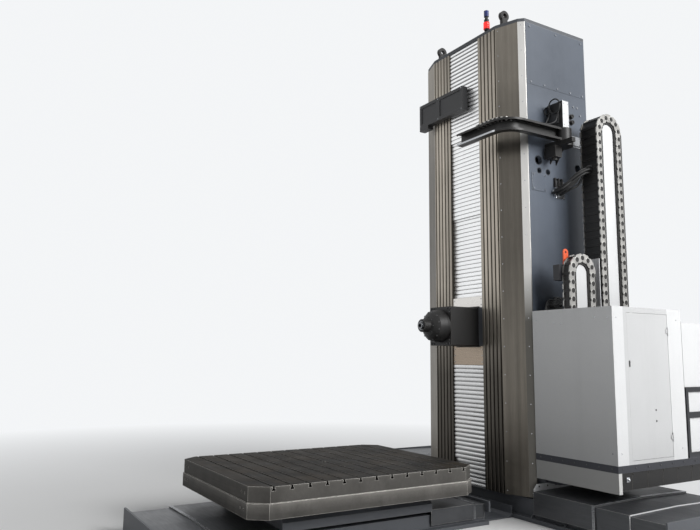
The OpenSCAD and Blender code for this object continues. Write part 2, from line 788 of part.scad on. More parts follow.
module boom_arm() {
    hub = 130;
    run_x = boom_x - boom_d / 2 - boom_bend;
    color("black") translate([0, 0, boom_z]) {
        difference() {
            union() {
                translate([run_x, boom_face_y, 0]) rotate([90, 0, -90])
                    linear_extrude(run_x - boom_tip) boom_channel();
                translate([run_x, boom_face_y + boom_bend, 0]) rotate([0, 0, -90])
                    rotate_extrude(angle = 90, $fn = 96) translate([boom_bend, 0]) boom_channel();
                translate([run_x + boom_bend, boom_y - 90, 0]) rotate([90, 0, 0])
                    linear_extrude(boom_y - 90 - boom_face_y - boom_bend) boom_channel();
                translate([boom_x, boom_y, 0]) cylinder(r = hub, h = boom_h, $fn = 64);
            }
            translate([boom_x, boom_y, -1]) cylinder(r = pin_r + fit, h = boom_h + 2, $fn = 48);
        }
    }
}

module boom_plate() {
    z = boom_z + boom_h;
    h = 470;
    y0 = boom_y - 100;
    y1 = boom_y + 40;
    color("black") box([boom_x - 250, y0, z], [boom_x + 80, y1, z + h]);
    color("white") box([boom_x + 80, y0 + 8, z + 10], [boom_x + 86, y1 - 8, z + h - 10]);
}

// Platform that travels with the column

module service_platform() {
    z0 = platform_z - platform_t;
    post_half = 40;
    color("dimgray") {
        box([eye_post_x0, eye_post_y - post_half, platform_z], [eye_post_x1, eye_post_y + post_half, eye_post_top]);
        box([eye_post_x0 - 70, eye_post_y - 190, eye_post_top - 260],
            [eye_post_x1, eye_post_y - post_half, eye_post_top - 10]);
        difference() {
            box([platform_x0, platform_y0, z0], [platform_x1, platform_y1, platform_z]);
            for (y = [platform_y0 + 80, (platform_y0 + enclosure_y1) / 2 + 40, enclosure_y1 + 120,
                      (enclosure_y1 + platform_y1) / 2 + 80])
                box([platform_x0 + 80, y, z0 - 1], [platform_x1 - 80, y + 640, platform_z - 16]);
        }
        for (y = [platform_y0 + 180, bed_cy, bed_cy + 560]) along_y(y, y + 120)
            polygon([[saddle_half, z0], [saddle_half, z0 - 360], [saddle_half + 260, z0 - 360],
                [platform_x1 - 120, z0 - 120], [platform_x1 - 120, z0]]);
    }
    color("whitesmoke") {
        box([platform_x0, platform_y0, 660], [platform_x1, platform_y0 + 14, z0]);
        box([platform_x1 - 14, platform_y0 + 14, 660], [platform_x1, platform_y0 + 70, z0]);
    }
}

module chain_enclosure() {
    t = enclosure_sheet;
    fold = 45;
    z0 = platform_z;
    color("whitesmoke") difference() {
        box([platform_x0, platform_y0, z0], [platform_x1, enclosure_y1, enclosure_top]);
        box([platform_x0 + t, platform_y0 + t, z0 - 1], [platform_x1 - t, enclosure_y1 - t, enclosure_top - t]);
        box([platform_x0 + fold, platform_y0 + fold, z0], [platform_x1 - fold, enclosure_y1 - fold,
            enclosure_top + 1]);
        box([chain_x - tall_w - 30, enclosure_y1 - fold - 1, enclosure_top - t - 1],
            [chain_x + 30, enclosure_y1 - t, enclosure_top + 1]);
        box([platform_x1 - t - 1, door_y0, z0 + 50], [platform_x1 + 1, door_y1, enclosure_top - 80]);
    }
    color("silver") for (z = [0.15, 0.85]) translate([platform_x1 + 9, door_y1 - 6,
        z0 + z * (enclosure_top - z0)]) door_pin();
}

// A hinge: pin and leaf on the enclosure, with the door's knuckle between
module door_pin() {
    translate([0, 0, -60]) cylinder(r = 6, h = 120, $fn = 24);
    translate([-9, 12, -60]) cube([9, 36, 120]);
    translate([-9, -6, -60]) cube([12, 30, 30]);
    translate([-9, -6, 30]) cube([12, 30, 30]);
}

module enclosure_door() {
    gap = 4;
    z0 = platform_z + 50 + gap;
    z1 = enclosure_top - 80 - gap;
    color("gainsboro") difference() {
        union() {
            box([platform_x1 - enclosure_sheet + 2, door_y0 + gap, z0], [platform_x1 - 2, door_y1 - gap, z1]);
            for (z = [0.15, 0.85]) translate([platform_x1 + 9, door_y1 - 6,
                    platform_z + z * (enclosure_top - platform_z)]) {
                translate([0, 0, -29]) cylinder(r = 9, h = 58, $fn = 24);
                translate([-11, -40, -29]) cube([9, 38, 58]);
            }
        }
        for (z = [0.15, 0.85]) translate([platform_x1 + 9, door_y1 - 6,
                platform_z + z * (enclosure_top - platform_z) - 61]) cylinder(r = 6 + fit, h = 122, $fn = 24);
    }
}

module rear_cabinet() {
    cabinet_w = 980;
    x0 = platform_x1 - cabinet_w;
    z1 = 3070;
    t = 30;
    color("whitesmoke") difference() {
        box([x0, enclosure_y1 + 40, platform_z], [platform_x1 - 20, platform_y1, z1]);
        box([x0 + t, enclosure_y1 + 40 + t, platform_z - 1], [platform_x1 - 20 - t, platform_y1 - t, z1 - t]);
    }
}

module rear_cabinet_frame() {
    post = 60;
    top = 2090;
    color("dimgray") difference() {
        box([platform_x1 - 20, enclosure_y1 + 40, platform_z], [platform_x1, platform_y1, top]);
        for (z = [[1120, 1627], [1716, 2016]], k = [0, 1])
            box([platform_x1 - 21, enclosure_y1 + 40 + post + k * 790, z[0]],
                [platform_x1 + 1, enclosure_y1 + 40 + k * 790 + 760, z[1]]);
    }
}

// Energy chains

// Point and outward direction along a chain that goes up, over and down
function chain_at(s, cy, z0, zc, rc) = let (run = zc - z0, bend = PI * rc)
    s < run ? [[cy - rc, z0 + s], [-1, 0]] :
    s < run + bend ? let (a = (s - run) / rc * 180 / PI) [[cy - rc * cos(a), zc + rc * sin(a)], [-cos(a), sin(a)]] :
    [[cy + rc, zc - (s - run - bend)], [1, 0]];

function chain_edge(cy, z0, zc, rc, out, notch) = let (
    total = 2 * (zc - z0) + PI * rc, n = round(total / link_pitch), p = total / n)
    [for (i = [0:n - 1], k = [[0, -notch], [0.22, 0], [0.78, 0]])
        let (c = chain_at((i + k[0]) * p, cy, z0, zc, rc)) c[0] + c[1] * (out + k[1] * sign(out))];

module chain_band(cy, z0, top, rc, out, inn, notch) {
    zc = top - rc - link_h / 2;
    outer = chain_edge(cy, z0, zc, rc, out, notch);
    inner = chain_edge(cy, z0, zc, rc, -inn, notch);
    polygon(concat(outer, [[cy + rc + out, z0], [cy + rc - inn, z0]],
        [for (i = [len(inner) - 1:-1:0]) inner[i]]));
}

module chain_side_plates() {
    color("silver") for (c = [[small_cy, small_top, small_rc, small_w], [tall_cy, tall_top, tall_rc, tall_w]])
        for (x = [chain_x - side_plate_t, chain_x - c[3]]) along_x(x, x + side_plate_t)
            chain_band(c[0], platform_z, c[1], c[2], link_h / 2, link_h / 2, link_notch);
}

module chain_bands() {
    color("black") for (c = [[small_cy, small_top, small_rc, small_w], [tall_cy, tall_top, tall_rc, tall_w]])
        along_x(chain_x - c[3] + side_plate_t, chain_x - side_plate_t)
            chain_band(c[0], platform_z, c[1], c[2], link_h / 2 - link_inset, link_h / 2 + link_flank, 0);
}

module chain_guides() {
    screen_y = tall_cy - tall_rc - link_h / 2 - 45;
    screen_top = 4120;
    color("white") {
        for (c = [[small_cy, small_top, small_rc], [tall_cy, tall_top, tall_rc]]) {
            r = c[2] - link_h / 2 - link_flank - 6;
            zc = c[1] - c[2] - link_h / 2;
            along_x(chain_x - 60, chain_x - 40) {
                translate([c[0] - r, platform_z]) square([2 * r, zc - platform_z]);
                intersection() {
                    translate([c[0], zc]) circle(r = r, $fn = 64);
                    translate([c[0] - r, zc - 1]) square([2 * r, r + 1]);
                }
            }
        }
        box([chain_x - tall_w, screen_y, platform_z], [chain_x - 20, screen_y + 14, screen_top]);
    }
}

// Hoses from the column's side to the tall chain, swept along a smooth curve
function hose_route(off) = let (
    a = hose_from + [0, off[0], off[1]], d = hose_to + hose_squeeze * [-off[0], 0, off[1]])
    [a, a + [260, 0, 0], d - [0, 240, 0], d];

function hose_point(p, t) =
    pow(1 - t, 3) * p[0] + 3 * pow(1 - t, 2) * t * p[1] + 3 * (1 - t) * t * t * p[2] + pow(t, 3) * p[3];

function hose_way(p, t) = unit(
    pow(1 - t, 2) * (p[1] - p[0]) + 2 * (1 - t) * t * (p[2] - p[1]) + t * t * (p[3] - p[2]));

function unit(v) = v / norm(v);

function hose_ring(t, off) = let (
    p = hose_route(off), way = hose_way(p, t), u = unit(cross(way, [0, 0, 1])), v = cross(way, u))
    [for (k = [0:hose_sides - 1]) hose_point(p, t)
        + hose_r * (cos(k * 360 / hose_sides) * u + sin(k * 360 / hose_sides) * v)];

module hose(off) {
    n = hose_sides;
    points = [for (i = [0:hose_rings]) each hose_ring(i / hose_rings, off)];
    sides = [for (i = [0:hose_rings - 1], k = [0:n - 1])
        [i * n + k, (i + 1) * n + k, (i + 1) * n + (k + 1) % n, i * n + (k + 1) % n]];
    ends = [[for (k = [0:n - 1]) k], [for (k = [n - 1:-1:0]) hose_rings * n + k]];
    polyhedron(points, concat(sides, ends));
}

module hose_bundle() {
    color("black") for (off = hose_places) hose(off);
}

module lifting_plate() {
    r = 55;
    eye_z = 200;
    color("orangered") along_x(eye_post_x0 + 10, eye_post_x0 + 30) translate([eye_post_y, eye_post_top])
        difference() {
            union() {
                translate([-r, 0]) square([2 * r, eye_z]);
                translate([0, eye_z]) circle(r = r, $fn = 48);
            }
            translate([0, eye_z]) circle(r = 20, $fn = 32);
        }
}

column_bed();
column_rails();
column_screw();
chip_trough();
table_bed();
table_rails();
table_screw();
color("darkgray") bed_cover(-1, 0);  // way_cover_left_fixed
color("darkgray") bed_cover(1, 0);  // way_cover_right_fixed
color("darkgray") bed_cover(-1, 1);  // way_cover_left_middle
color("darkgray") bed_cover(1, 1);  // way_cover_right_middle
color("darkgray") bed_cover(-1, 2);  // way_cover_left_riding
color("darkgray") bed_cover(1, 2);  // way_cover_right_riding
color("darkgray") table_cover(-1, 0);  // table_cover_front_fixed
color("darkgray") table_cover(1, 0);  // table_cover_back_fixed
color("darkgray") table_cover(-1, 1);  // table_cover_front_riding
color("darkgray") table_cover(1, 1);  // table_cover_back_riding
table_saddle();
table_bearing();
rotary_table();
column_saddle();
saddle_carriages();
saddle_drive();
column();
headstock_rails();
headstock_screws();
color("tan") mirror([1, 0, 0]) front_cover();  // front_cover_left
color("tan") front_cover();  // front_cover_right
column_cap();
beacon_body();
beacon_red_lens();
beacon_blue_lens();
lifting_lugs();
color("lightgray") slat_cover(0, casting_top - upper_len, upper_slats, true);  // upper_cover_fixed
color("lightgray") slat_cover(1, upper_rest, upper_slats, true);  // upper_cover_middle
color("lightgray") slat_cover(2, plate_top, upper_slats, false);  // upper_cover_riding
color("lightgray") {  // lower_cover_fixed
    slat_cover(2, lower_foot, lower_slats, false);
    lower_cover_brackets();
}
color("lightgray") slat_cover(1, lower_rest, lower_slats, true);  // lower_cover_middle
color("lightgray") slat_cover(0, plate_bottom - lower_len, lower_slats, true);  // lower_cover_riding
headstock();
ram_cover_plates();
ram();
spindle_housing();
spindle_bearings();
spindle();
lamp_box();
boom_bracket();
boom_drive();
boom_arm();
boom_plate();
service_platform();
chain_enclosure();
enclosure_door();
rear_cabinet();
rear_cabinet_frame();
chain_side_plates();
chain_bands();
chain_guides();
hose_bundle();
lifting_plate();
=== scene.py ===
"""Looks of a floor-type machining centre: materials on its CAD nodes, and small detail pieces.

Lengths are in metres in the row frame: +X along the column's bed, +Y from the table to the column, +Z up.
"""
import json
import math

import bmesh
import bpy
from mathutils import Matrix, Vector


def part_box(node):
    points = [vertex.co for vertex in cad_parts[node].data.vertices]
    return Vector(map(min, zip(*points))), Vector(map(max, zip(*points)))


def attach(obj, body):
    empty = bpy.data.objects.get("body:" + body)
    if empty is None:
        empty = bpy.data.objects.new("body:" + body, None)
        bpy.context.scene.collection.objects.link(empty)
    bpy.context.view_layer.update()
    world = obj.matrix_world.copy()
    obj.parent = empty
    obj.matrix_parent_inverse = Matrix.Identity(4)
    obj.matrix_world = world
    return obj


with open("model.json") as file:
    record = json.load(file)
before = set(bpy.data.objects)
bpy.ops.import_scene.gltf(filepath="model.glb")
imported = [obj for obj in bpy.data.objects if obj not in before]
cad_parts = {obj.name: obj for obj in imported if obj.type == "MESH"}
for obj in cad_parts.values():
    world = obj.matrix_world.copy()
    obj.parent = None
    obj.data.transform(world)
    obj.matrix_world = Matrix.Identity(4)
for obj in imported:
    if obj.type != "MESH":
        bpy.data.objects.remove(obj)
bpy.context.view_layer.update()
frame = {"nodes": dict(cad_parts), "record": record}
scene = bpy.context.scene

# Camera, as in the photograph
CAMERA_AT = (9.18, -5.13, 2.53)
CAMERA_TURN, CAMERA_TILT, CAMERA_ROLL = 58.89, 97.61, 0.454  # degrees
FOCAL_PX, FRAME_W = 676.78, 700
SENSOR = 36.0
CLIP_END = 200

camera = bpy.data.objects.new("camera", bpy.data.cameras.new("camera"))
scene.collection.objects.link(camera)
camera.data.sensor_width = SENSOR
camera.data.lens = FOCAL_PX / FRAME_W * SENSOR
camera.data.clip_end = CLIP_END
camera.matrix_world = Matrix.Translation(CAMERA_AT) @ (
    Matrix.Rotation(math.radians(CAMERA_TURN), 4, "Z")
    @ Matrix.Rotation(math.radians(CAMERA_TILT), 4, "X")
    @ Matrix.Rotation(math.radians(CAMERA_ROLL), 4, "Z"))
scene.camera = camera
scene.view_settings.view_transform = "Standard"

# Places from the frame
column_lo, column_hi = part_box("column")
side_x = column_hi.x
front_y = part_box("front_cover_right")[0].y
ram_lo, ram_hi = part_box("ram")
spindle_z = (ram_lo.z + ram_hi.z) / 2
ram_plates_lo, ram_plates_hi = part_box("ram_cover_plates")
wall_lo, wall_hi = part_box("chain_enclosure")
wall_x = wall_hi.x - 0.018  # 3 mm inside the wall's outer face; its hinges stand out 15 mm
platform_lo, platform_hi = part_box("service_platform")
chains_lo, chains_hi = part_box("chain_side_plates")
boom_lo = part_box("boom_arm")[0]
ARM_H = 0.21
arm_top = boom_lo.z + ARM_H
post_lo, post_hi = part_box("boom_plate")

# Materials
MIX_A, MIX_B, MIX_OUT = 6, 7, 2  # the colour sockets of a Mix node


def shade(color, factor):
    """The color made darker or paler."""
    return tuple(min(1.0, c * factor) for c in color)


class Nodes:
    """A material's node tree, with short calls to add and join its nodes."""

    def __init__(self, name):
        self.material = bpy.data.materials.new(name)
        self.material.use_nodes = True
        self.tree = self.material.node_tree
        self.shader = self.tree.nodes["Principled BSDF"]

    def add(self, kind, **values):
        node = self.tree.nodes.new(kind)
        for key, value in values.items():
            if hasattr(node, key):
                setattr(node, key, value)
            else:
                node.inputs[key.replace("_", " ")].default_value = value
        return node

    def join(self, start, end):
        self.tree.links.new(start, end)

    def noise(self, scale, stretch=(1, 1, 1), detail=4.0, rough=0.6):
        """Noise in the row frame, stretched along an axis for a brushed or rolled grain."""
        place = self.add("ShaderNodeTexCoord")
        mapping = self.add("ShaderNodeMapping")
        mapping.inputs["Scale"].default_value = stretch
        noise = self.add("ShaderNodeTexNoise", Scale=scale, Detail=detail, Roughness=rough)
        self.join(place.outputs["Object"], mapping.inputs["Vector"])
        self.join(mapping.outputs["Vector"], noise.inputs["Vector"])
        return noise.outputs["Fac"]

    def span(self, value, low, high, start=0.3, end=0.7):
        """Maps value from start..end to low..high."""
        node = self.add("ShaderNodeMapRange")
        for key, number in (("From Min", start), ("From Max", end), ("To Min", low), ("To Max", high)):
            node.inputs[key].default_value = number
        self.join(value, node.inputs["Value"])
        return node.outputs["Result"]

    def math(self, operation, a, b):
        node = self.add("ShaderNodeMath", operation=operation)
        for socket, value in zip(node.inputs, (a, b)):
            if isinstance(value, (int, float)):
                socket.default_value = value
            else:
                self.join(value, socket)
        return node.outputs["Value"]

    def within(self, value, low, high):
        """1 where value lies between low and high."""
        return self.every(self.math("GREATER_THAN", value, low), self.math("LESS_THAN", value, high))

    def near(self, value, reach):
        """1 where value lies within reach of 0."""
        return self.math("LESS_THAN", self.math("ABSOLUTE", value, 0), reach)

    def every(self, *shares):
        """The product of the shares: 1 where all of them are 1."""
        whole = shares[0]
        for share in shares[1:]:
            whole = self.math("MULTIPLY", whole, share)
        return whole

    def mix(self, share, a, b):
        """Colour a turns to colour b as share goes from 0 to 1."""
        node = self.add("ShaderNodeMix", data_type="RGBA")
        self.join(share, node.inputs["Factor"])
        for socket, value in ((node.inputs[MIX_A], a), (node.inputs[MIX_B], b)):
            if isinstance(value, (tuple, list)):
                socket.default_value = (*value[:3], 1)
            else:
                self.join(value, socket)
        return node.outputs[MIX_OUT]

    def dim(self, look, level):
        """The colour times a level."""
        node = self.add("ShaderNodeVectorMath", operation="SCALE")
        self.join(look, node.inputs[0])
        self.join(level, node.inputs["Scale"])
        return node.outputs["Vector"]

    def scale(self, value, low, high, stops):
        """A stepless scale of levels; each stop is a share of the way from low to high, and a level."""
        ramp = self.add("ShaderNodeValToRGB")
        points = ramp.color_ramp.elements
        while len(points) < len(stops):
            points.new(1.0)
        for point, (place, level) in zip(points, stops):
            point.position = place
            point.color = (level, level, level, 1)
        self.join(self.span(value, 0.0, 1.0, low, high), ramp.inputs["Fac"])
        return ramp.outputs["Color"]

    def split(self, vector):
        """A vector's X, Y and Z."""
        parts = self.add("ShaderNodeSeparateXYZ")
        self.join(vector, parts.inputs[0])
        return parts.outputs[0], parts.outputs[1], parts.outputs[2]

    def spots(self):
        """The place on the object, as X, Y and Z in the row frame at rest."""
        return self.split(self.add("ShaderNodeTexCoord").outputs["Object"])

    def facing(self):
        """The normal's X, Y and Z."""
        return self.split(self.add("ShaderNodeNewGeometry").outputs["Normal"])

    def faces_front(self):
        """1 on faces that look to -Y."""
        return self.math("LESS_THAN", self.facing()[1], -0.9)

    def edges(self, radius):
        """Near 1 along the rims of a shape, 0 on its flats."""
        bevel = self.add("ShaderNodeBevel", Radius=radius)
        bevel.samples = 4
        plain = self.add("ShaderNodeNewGeometry")
        dot = self.add("ShaderNodeVectorMath", operation="DOT_PRODUCT")
        self.join(bevel.outputs["Normal"], dot.inputs[0])
        self.join(plain.outputs["Normal"], dot.inputs[1])
        return self.span(dot.outputs["Value"], 1.0, 0.0, 0.93, 0.995)


GRAIN_MOST, GRAIN_DARK = 0.30, 0.55
STREAK_SIZE, STREAK_DARK = 3.0, 0.45
UNEVEN = 0.06
BUMP_DEPTH = 0.001


def surface(name, color, rough, metal=0.0, spread=0.12, blotch=0.9, grain=60.0, stretch=(1, 1, 1),
            bump=0.15, rim=None, rim_size=0.006, aniso=0.0, coat=0.0, streak=0.0, streak_stretch=(1, 1, 0.06),
            tint=None, gloss=0.5):
    """A painted, cast or brushed surface: slow and fine colour changes, uneven gloss, a fine bump."""
    n = Nodes(name)
    slow = n.noise(blotch, detail=5.0)
    fine = n.noise(grain, stretch, detail=3.0)
    look = n.mix(n.span(slow, 0, 1), shade(color, 1 - spread), shade(color, 1 + spread))
    look = n.mix(n.span(fine, 0.0, GRAIN_MOST), look, shade(color, GRAIN_DARK))
    if streak:
        runs = n.noise(STREAK_SIZE, streak_stretch, detail=6.0, rough=0.7)
        look = n.mix(n.span(runs, 0.0, streak, 0.5, 0.75), look, shade(color, STREAK_DARK))
    if rim:
        worn = n.math("MULTIPLY", n.edges(rim_size), n.span(fine, 0.35, 1.0))
        look = n.mix(worn, look, rim)
    if tint:
        look = tint(n, look)
    n.join(look, n.shader.inputs["Base Color"])
    uneven = n.math("ADD", n.span(slow, -UNEVEN, UNEVEN), n.span(fine, rough - UNEVEN, rough + UNEVEN))
    n.join(uneven, n.shader.inputs["Roughness"])
    n.shader.inputs["Metallic"].default_value = metal
    n.shader.inputs["Anisotropic"].default_value = aniso
    n.shader.inputs["Coat Weight"].default_value = coat
    n.shader.inputs["Specular IOR Level"].default_value = gloss
    if bump:
        node = n.add("ShaderNodeBump", Strength=bump, Distance=BUMP_DEPTH)
        n.join(fine, node.inputs["Height"])
        n.join(node.outputs["Normal"], n.shader.inputs["Normal"])
    return n.material


# Tints: what a surface's colour does over the object. The scales over the height end at HEIGHT.
HEIGHT = 8.5

# Painted light on the slats, by how far a face looks up
SLAT_SOFT_PAINTED_LIGHT = ((0.22, 0.16), (0.27, 0.55), (0.38, 1.0), (0.46, 1.15), (0.54, 1.2), (0.61, 1.25), (0.78, 0.9))
SLAT_SHARP_PAINTED_LIGHT = ((0.30, 0.22), (0.41, 0.45), (0.47, 1.5), (0.60, 1.7), (0.72, 0.9))
# Painted shade over the slats' height, darker low down and at the top
SLAT_SHADE_HEIGHTS = ((0.0, 0.60), (0.26, 0.66), (0.36, 0.80), (0.43, 1.2), (0.80, 1.2), (0.90, 0.80), (1.0, 0.80))
SHARP_Z, SHARP_MOST = (6.3, 7.6), 0.8
PLATES_Z = (ram_plates_lo.z - 0.001, ram_plates_hi.z + 0.001)
PLATES_Y = (front_y + 0.01, front_y + 0.034)
# The ram's plates: painted shade below the ram, their own pale grey above
PLATE_SHADE_BELOW, PLATE_ABOVE = (0.34, 0.275, 0.215), (0.80, 0.77, 0.73)


def slat_painted_light(n, look):
    """Painted highlight where the slats face up and painted shade where they face down and lower down,
    sharper high up; the ram's plates are plain, with painted shade below the ram.
    """
    up = n.facing()[2]
    _, y, z = n.spots()
    look = n.dim(look, n.scale(up, -1.0, 1.0, SLAT_SOFT_PAINTED_LIGHT))
    look = n.dim(look, n.scale(z, 0.0, HEIGHT, SLAT_SHADE_HEIGHTS))
    sharp = n.dim(look, n.scale(up, -1.0, 1.0, SLAT_SHARP_PAINTED_LIGHT))
    look = n.mix(n.span(z, 0.0, SHARP_MOST, *SHARP_Z), look, sharp)
    plates = n.every(n.within(z, *PLATES_Z), n.within(y, *PLATES_Y))
    above = n.math("GREATER_THAN", z, sum(PLATES_Z) / 2)
    return n.mix(plates, look, n.mix(above, PLATE_SHADE_BELOW, PLATE_ABOVE))


# Painted light on the ribbed covers: levels over the height, and painted shade in the grooves
RIB_SHADE_HEIGHTS = ((0.0, 0.15), (0.26, 0.17), (0.36, 0.45), (0.45, 0.9), (0.8, 1.0), (1.0, 0.55))
FOLD_SHADE_HEIGHTS = ((0.0, 0.34), (0.3, 0.38), (0.5, 0.24), (0.7, 0.24), (0.85, 0.42), (1.0, 0.5))
GROOVE_SHADE_HEIGHTS = ((0.0, 0.85), (0.8, 0.95), (0.92, 0.55))
GROOVE_Y = (front_y + 0.003, front_y + 0.014)
GROOVE_SHADE_COLOR = (0.016, 0.013, 0.010)
RIBS_END = 0.862  # X from the column's middle
STRIP_X = (1.2445, 2.0)
STRIP_TURNS_Z = (3.1, 3.9)
# The corner strip: painted shade low down, a painted reflection higher up
STRIP_SHADE_LOW, STRIP_REFLECTION_HIGH = (0.10, 0.095, 0.085), (0.55, 0.54, 0.52)


def cover_painted_light(n, look):
    """Ribbed covers: painted highlight on the crests halfway up, painted shade low down and in the grooves,
    and a pale painted reflection on the side strip, with painted shade on it low down.
    """
    x, y, z = n.spots()
    on_ribs = n.near(x, RIBS_END)
    level = n.mix(on_ribs, n.scale(z, 0.0, HEIGHT, FOLD_SHADE_HEIGHTS), n.scale(z, 0.0, HEIGHT, RIB_SHADE_HEIGHTS))
    look = n.dim(n.dim(look, level), n.span(n.noise(4.0, (1, 1, 0.012), detail=2.0), 1.5, 2.7))
    groove_shade = n.every(n.span(y, 0.0, 1.0, *GROOVE_Y), on_ribs, n.scale(z, 0.0, HEIGHT, GROOVE_SHADE_HEIGHTS))
    look = n.mix(groove_shade, look, GROOVE_SHADE_COLOR)
    strip = n.mix(n.span(z, 0.0, 1.0, *STRIP_TURNS_Z), STRIP_SHADE_LOW, STRIP_REFLECTION_HIGH)
    return n.mix(n.within(n.math("ABSOLUTE", x, 0), *STRIP_X), look, strip)


# The table's top: dust, darkened as a painted shadow
DUST_IN_SHADOW_DARK, DUST_IN_SHADOW_PALE = (0.012, 0.011, 0.010), (0.030, 0.024, 0.018)
TABLE_SIDE_Z = (0.55, 0.94)
# Painted highlight on a band of the table's sides, along the step
TABLE_SIDE_HIGHLIGHT = ((0.0, 0.85), (0.15, 0.95), (0.36, 1.5), (0.47, 2.2), (0.50, 2.2), (0.52, 1.0), (0.92, 1.05),
               (1.0, 1.35))
SLOT_Z = (0.885, 0.936)
SLOT_END_X, SLOT_END_Y = 1.408, 1.70
SLOT_TURN = 0.3  # a slot's faces look less than this along X, the table's corner chamfers more
# Painted shade inside the T-slots
SLOT_SHADE_COLOR = (0.008, 0.007, 0.006)


def table_dust_and_painted_light(n, look):
    """Dusty brown on top, darkened as a painted shadow; sides with a painted highlight along a band; painted
    shade inside the T-slots, black.
    """
    x, y, z = n.spots()
    across, _, up = n.facing()
    dust = n.noise(1.6, detail=8.0, rough=0.75)
    top = n.mix(n.span(dust, 0.0, 1.0, 0.4, 0.6), DUST_IN_SHADOW_DARK, DUST_IN_SHADOW_PALE)
    look = n.mix(n.near(up, 0.1), look, n.dim(look, n.scale(z, *TABLE_SIDE_Z, TABLE_SIDE_HIGHLIGHT)))
    look = n.mix(n.within(up, 0.9, 1.1), look, top)
    slot_shade = n.every(n.within(z, *SLOT_Z), n.near(y, SLOT_END_Y), n.near(x, SLOT_END_X),
                   n.near(across, SLOT_TURN))
    return n.mix(slot_shade, look, SLOT_SHADE_COLOR)


# Painted sheen on the column's side, from halfway up to the upper panels' seam
SIDE_SHEEN_HEIGHTS = ((0.0, 1.0), (0.45, 1.0), (0.62, 1.35), (0.78, 1.35), (0.84, 1.0), (1.0, 1.0))


def side_painted_sheen(n, look):
    """The column's side gets a painted sheen from halfway up to the seam of the upper panels."""
    return n.dim(look, n.scale(n.spots()[2], 0.0, HEIGHT, SIDE_SHEEN_HEIGHTS))


NOSE_REACH, NOSE_Y, NOSE_Z = 0.2, (1.70, 1.90), (2.8, 3.3)
NOSE_LEVEL = 0.35


def nose_tint(n, look):
    """The spindle's nose is darker than the other ground steel."""
    x, y, z = n.spots()
    nose = n.every(n.within(y, *NOSE_Y), n.near(x, NOSE_REACH), n.within(z, *NOSE_Z))
    return n.dim(look, n.span(nose, 1.0, NOSE_LEVEL, 0.0, 1.0))


SKIRT_Y, SKIRT_Z = (2.9, 3.095), (0.6, 0.9399)
# the skirt's front face is a painted shade of its end face's grey
SKIRT_END, SKIRT_FRONT_SHADE = (0.50, 0.50, 0.49), (0.26, 0.26, 0.255)
FLOOR_FRAME_Z = (1.05, 1.10)


def platform_tint(n, look):
    """The platform's skirt below the floor frame is light grey, with painted shade on its faces that look to
    -Y, and what stands on the frame is darker.
    """
    _, y, z = n.spots()
    skirt = n.every(n.within(z, *SKIRT_Z), n.within(y, *SKIRT_Y))
    look = n.dim(look, n.span(z, 0.72, 0.35, *FLOOR_FRAME_Z))
    return n.mix(skirt, look, n.mix(n.faces_front(), SKIRT_END, SKIRT_FRONT_SHADE))


BAY_X, BAY_Y, BAY_LEVEL = (2.85, 2.9), (3.256, 4.28), 0.80
FRONT_WALL_Z = (1.0, 3.3)
# Painted shade on the walls' faces that look to -Y, darker low down
FRONT_WALL_SHADE_HEIGHTS = ((0.0, 0.60), (0.22, 0.68), (0.54, 0.85), (0.78, 0.97), (1.0, 1.0))
FOOT_DARK_Z, FOOT_DARK_LEVEL = (1.04, 1.5), 0.93


def wall_shade_and_bay(n, look):
    """Sheet walls: darker low down, painted shade on the faces that look to -Y, stronger low down, and a
    greyer door bay.
    """
    x, y, z = n.spots()
    bay = n.every(n.within(x, *BAY_X), n.within(y, *BAY_Y))
    look = n.dim(look, n.span(bay, 1.0, BAY_LEVEL, 0.0, 1.0))
    front = n.dim(look, n.scale(z, *FRONT_WALL_Z, FRONT_WALL_SHADE_HEIGHTS))
    look = n.mix(n.faces_front(), look, front)
    return n.dim(look, n.span(z, FOOT_DARK_LEVEL, 1.0, *FOOT_DARK_Z))


ALONG_X, ALONG_Z = (0.03, 1, 1), (1, 1, 0.03)  # the way a grain runs

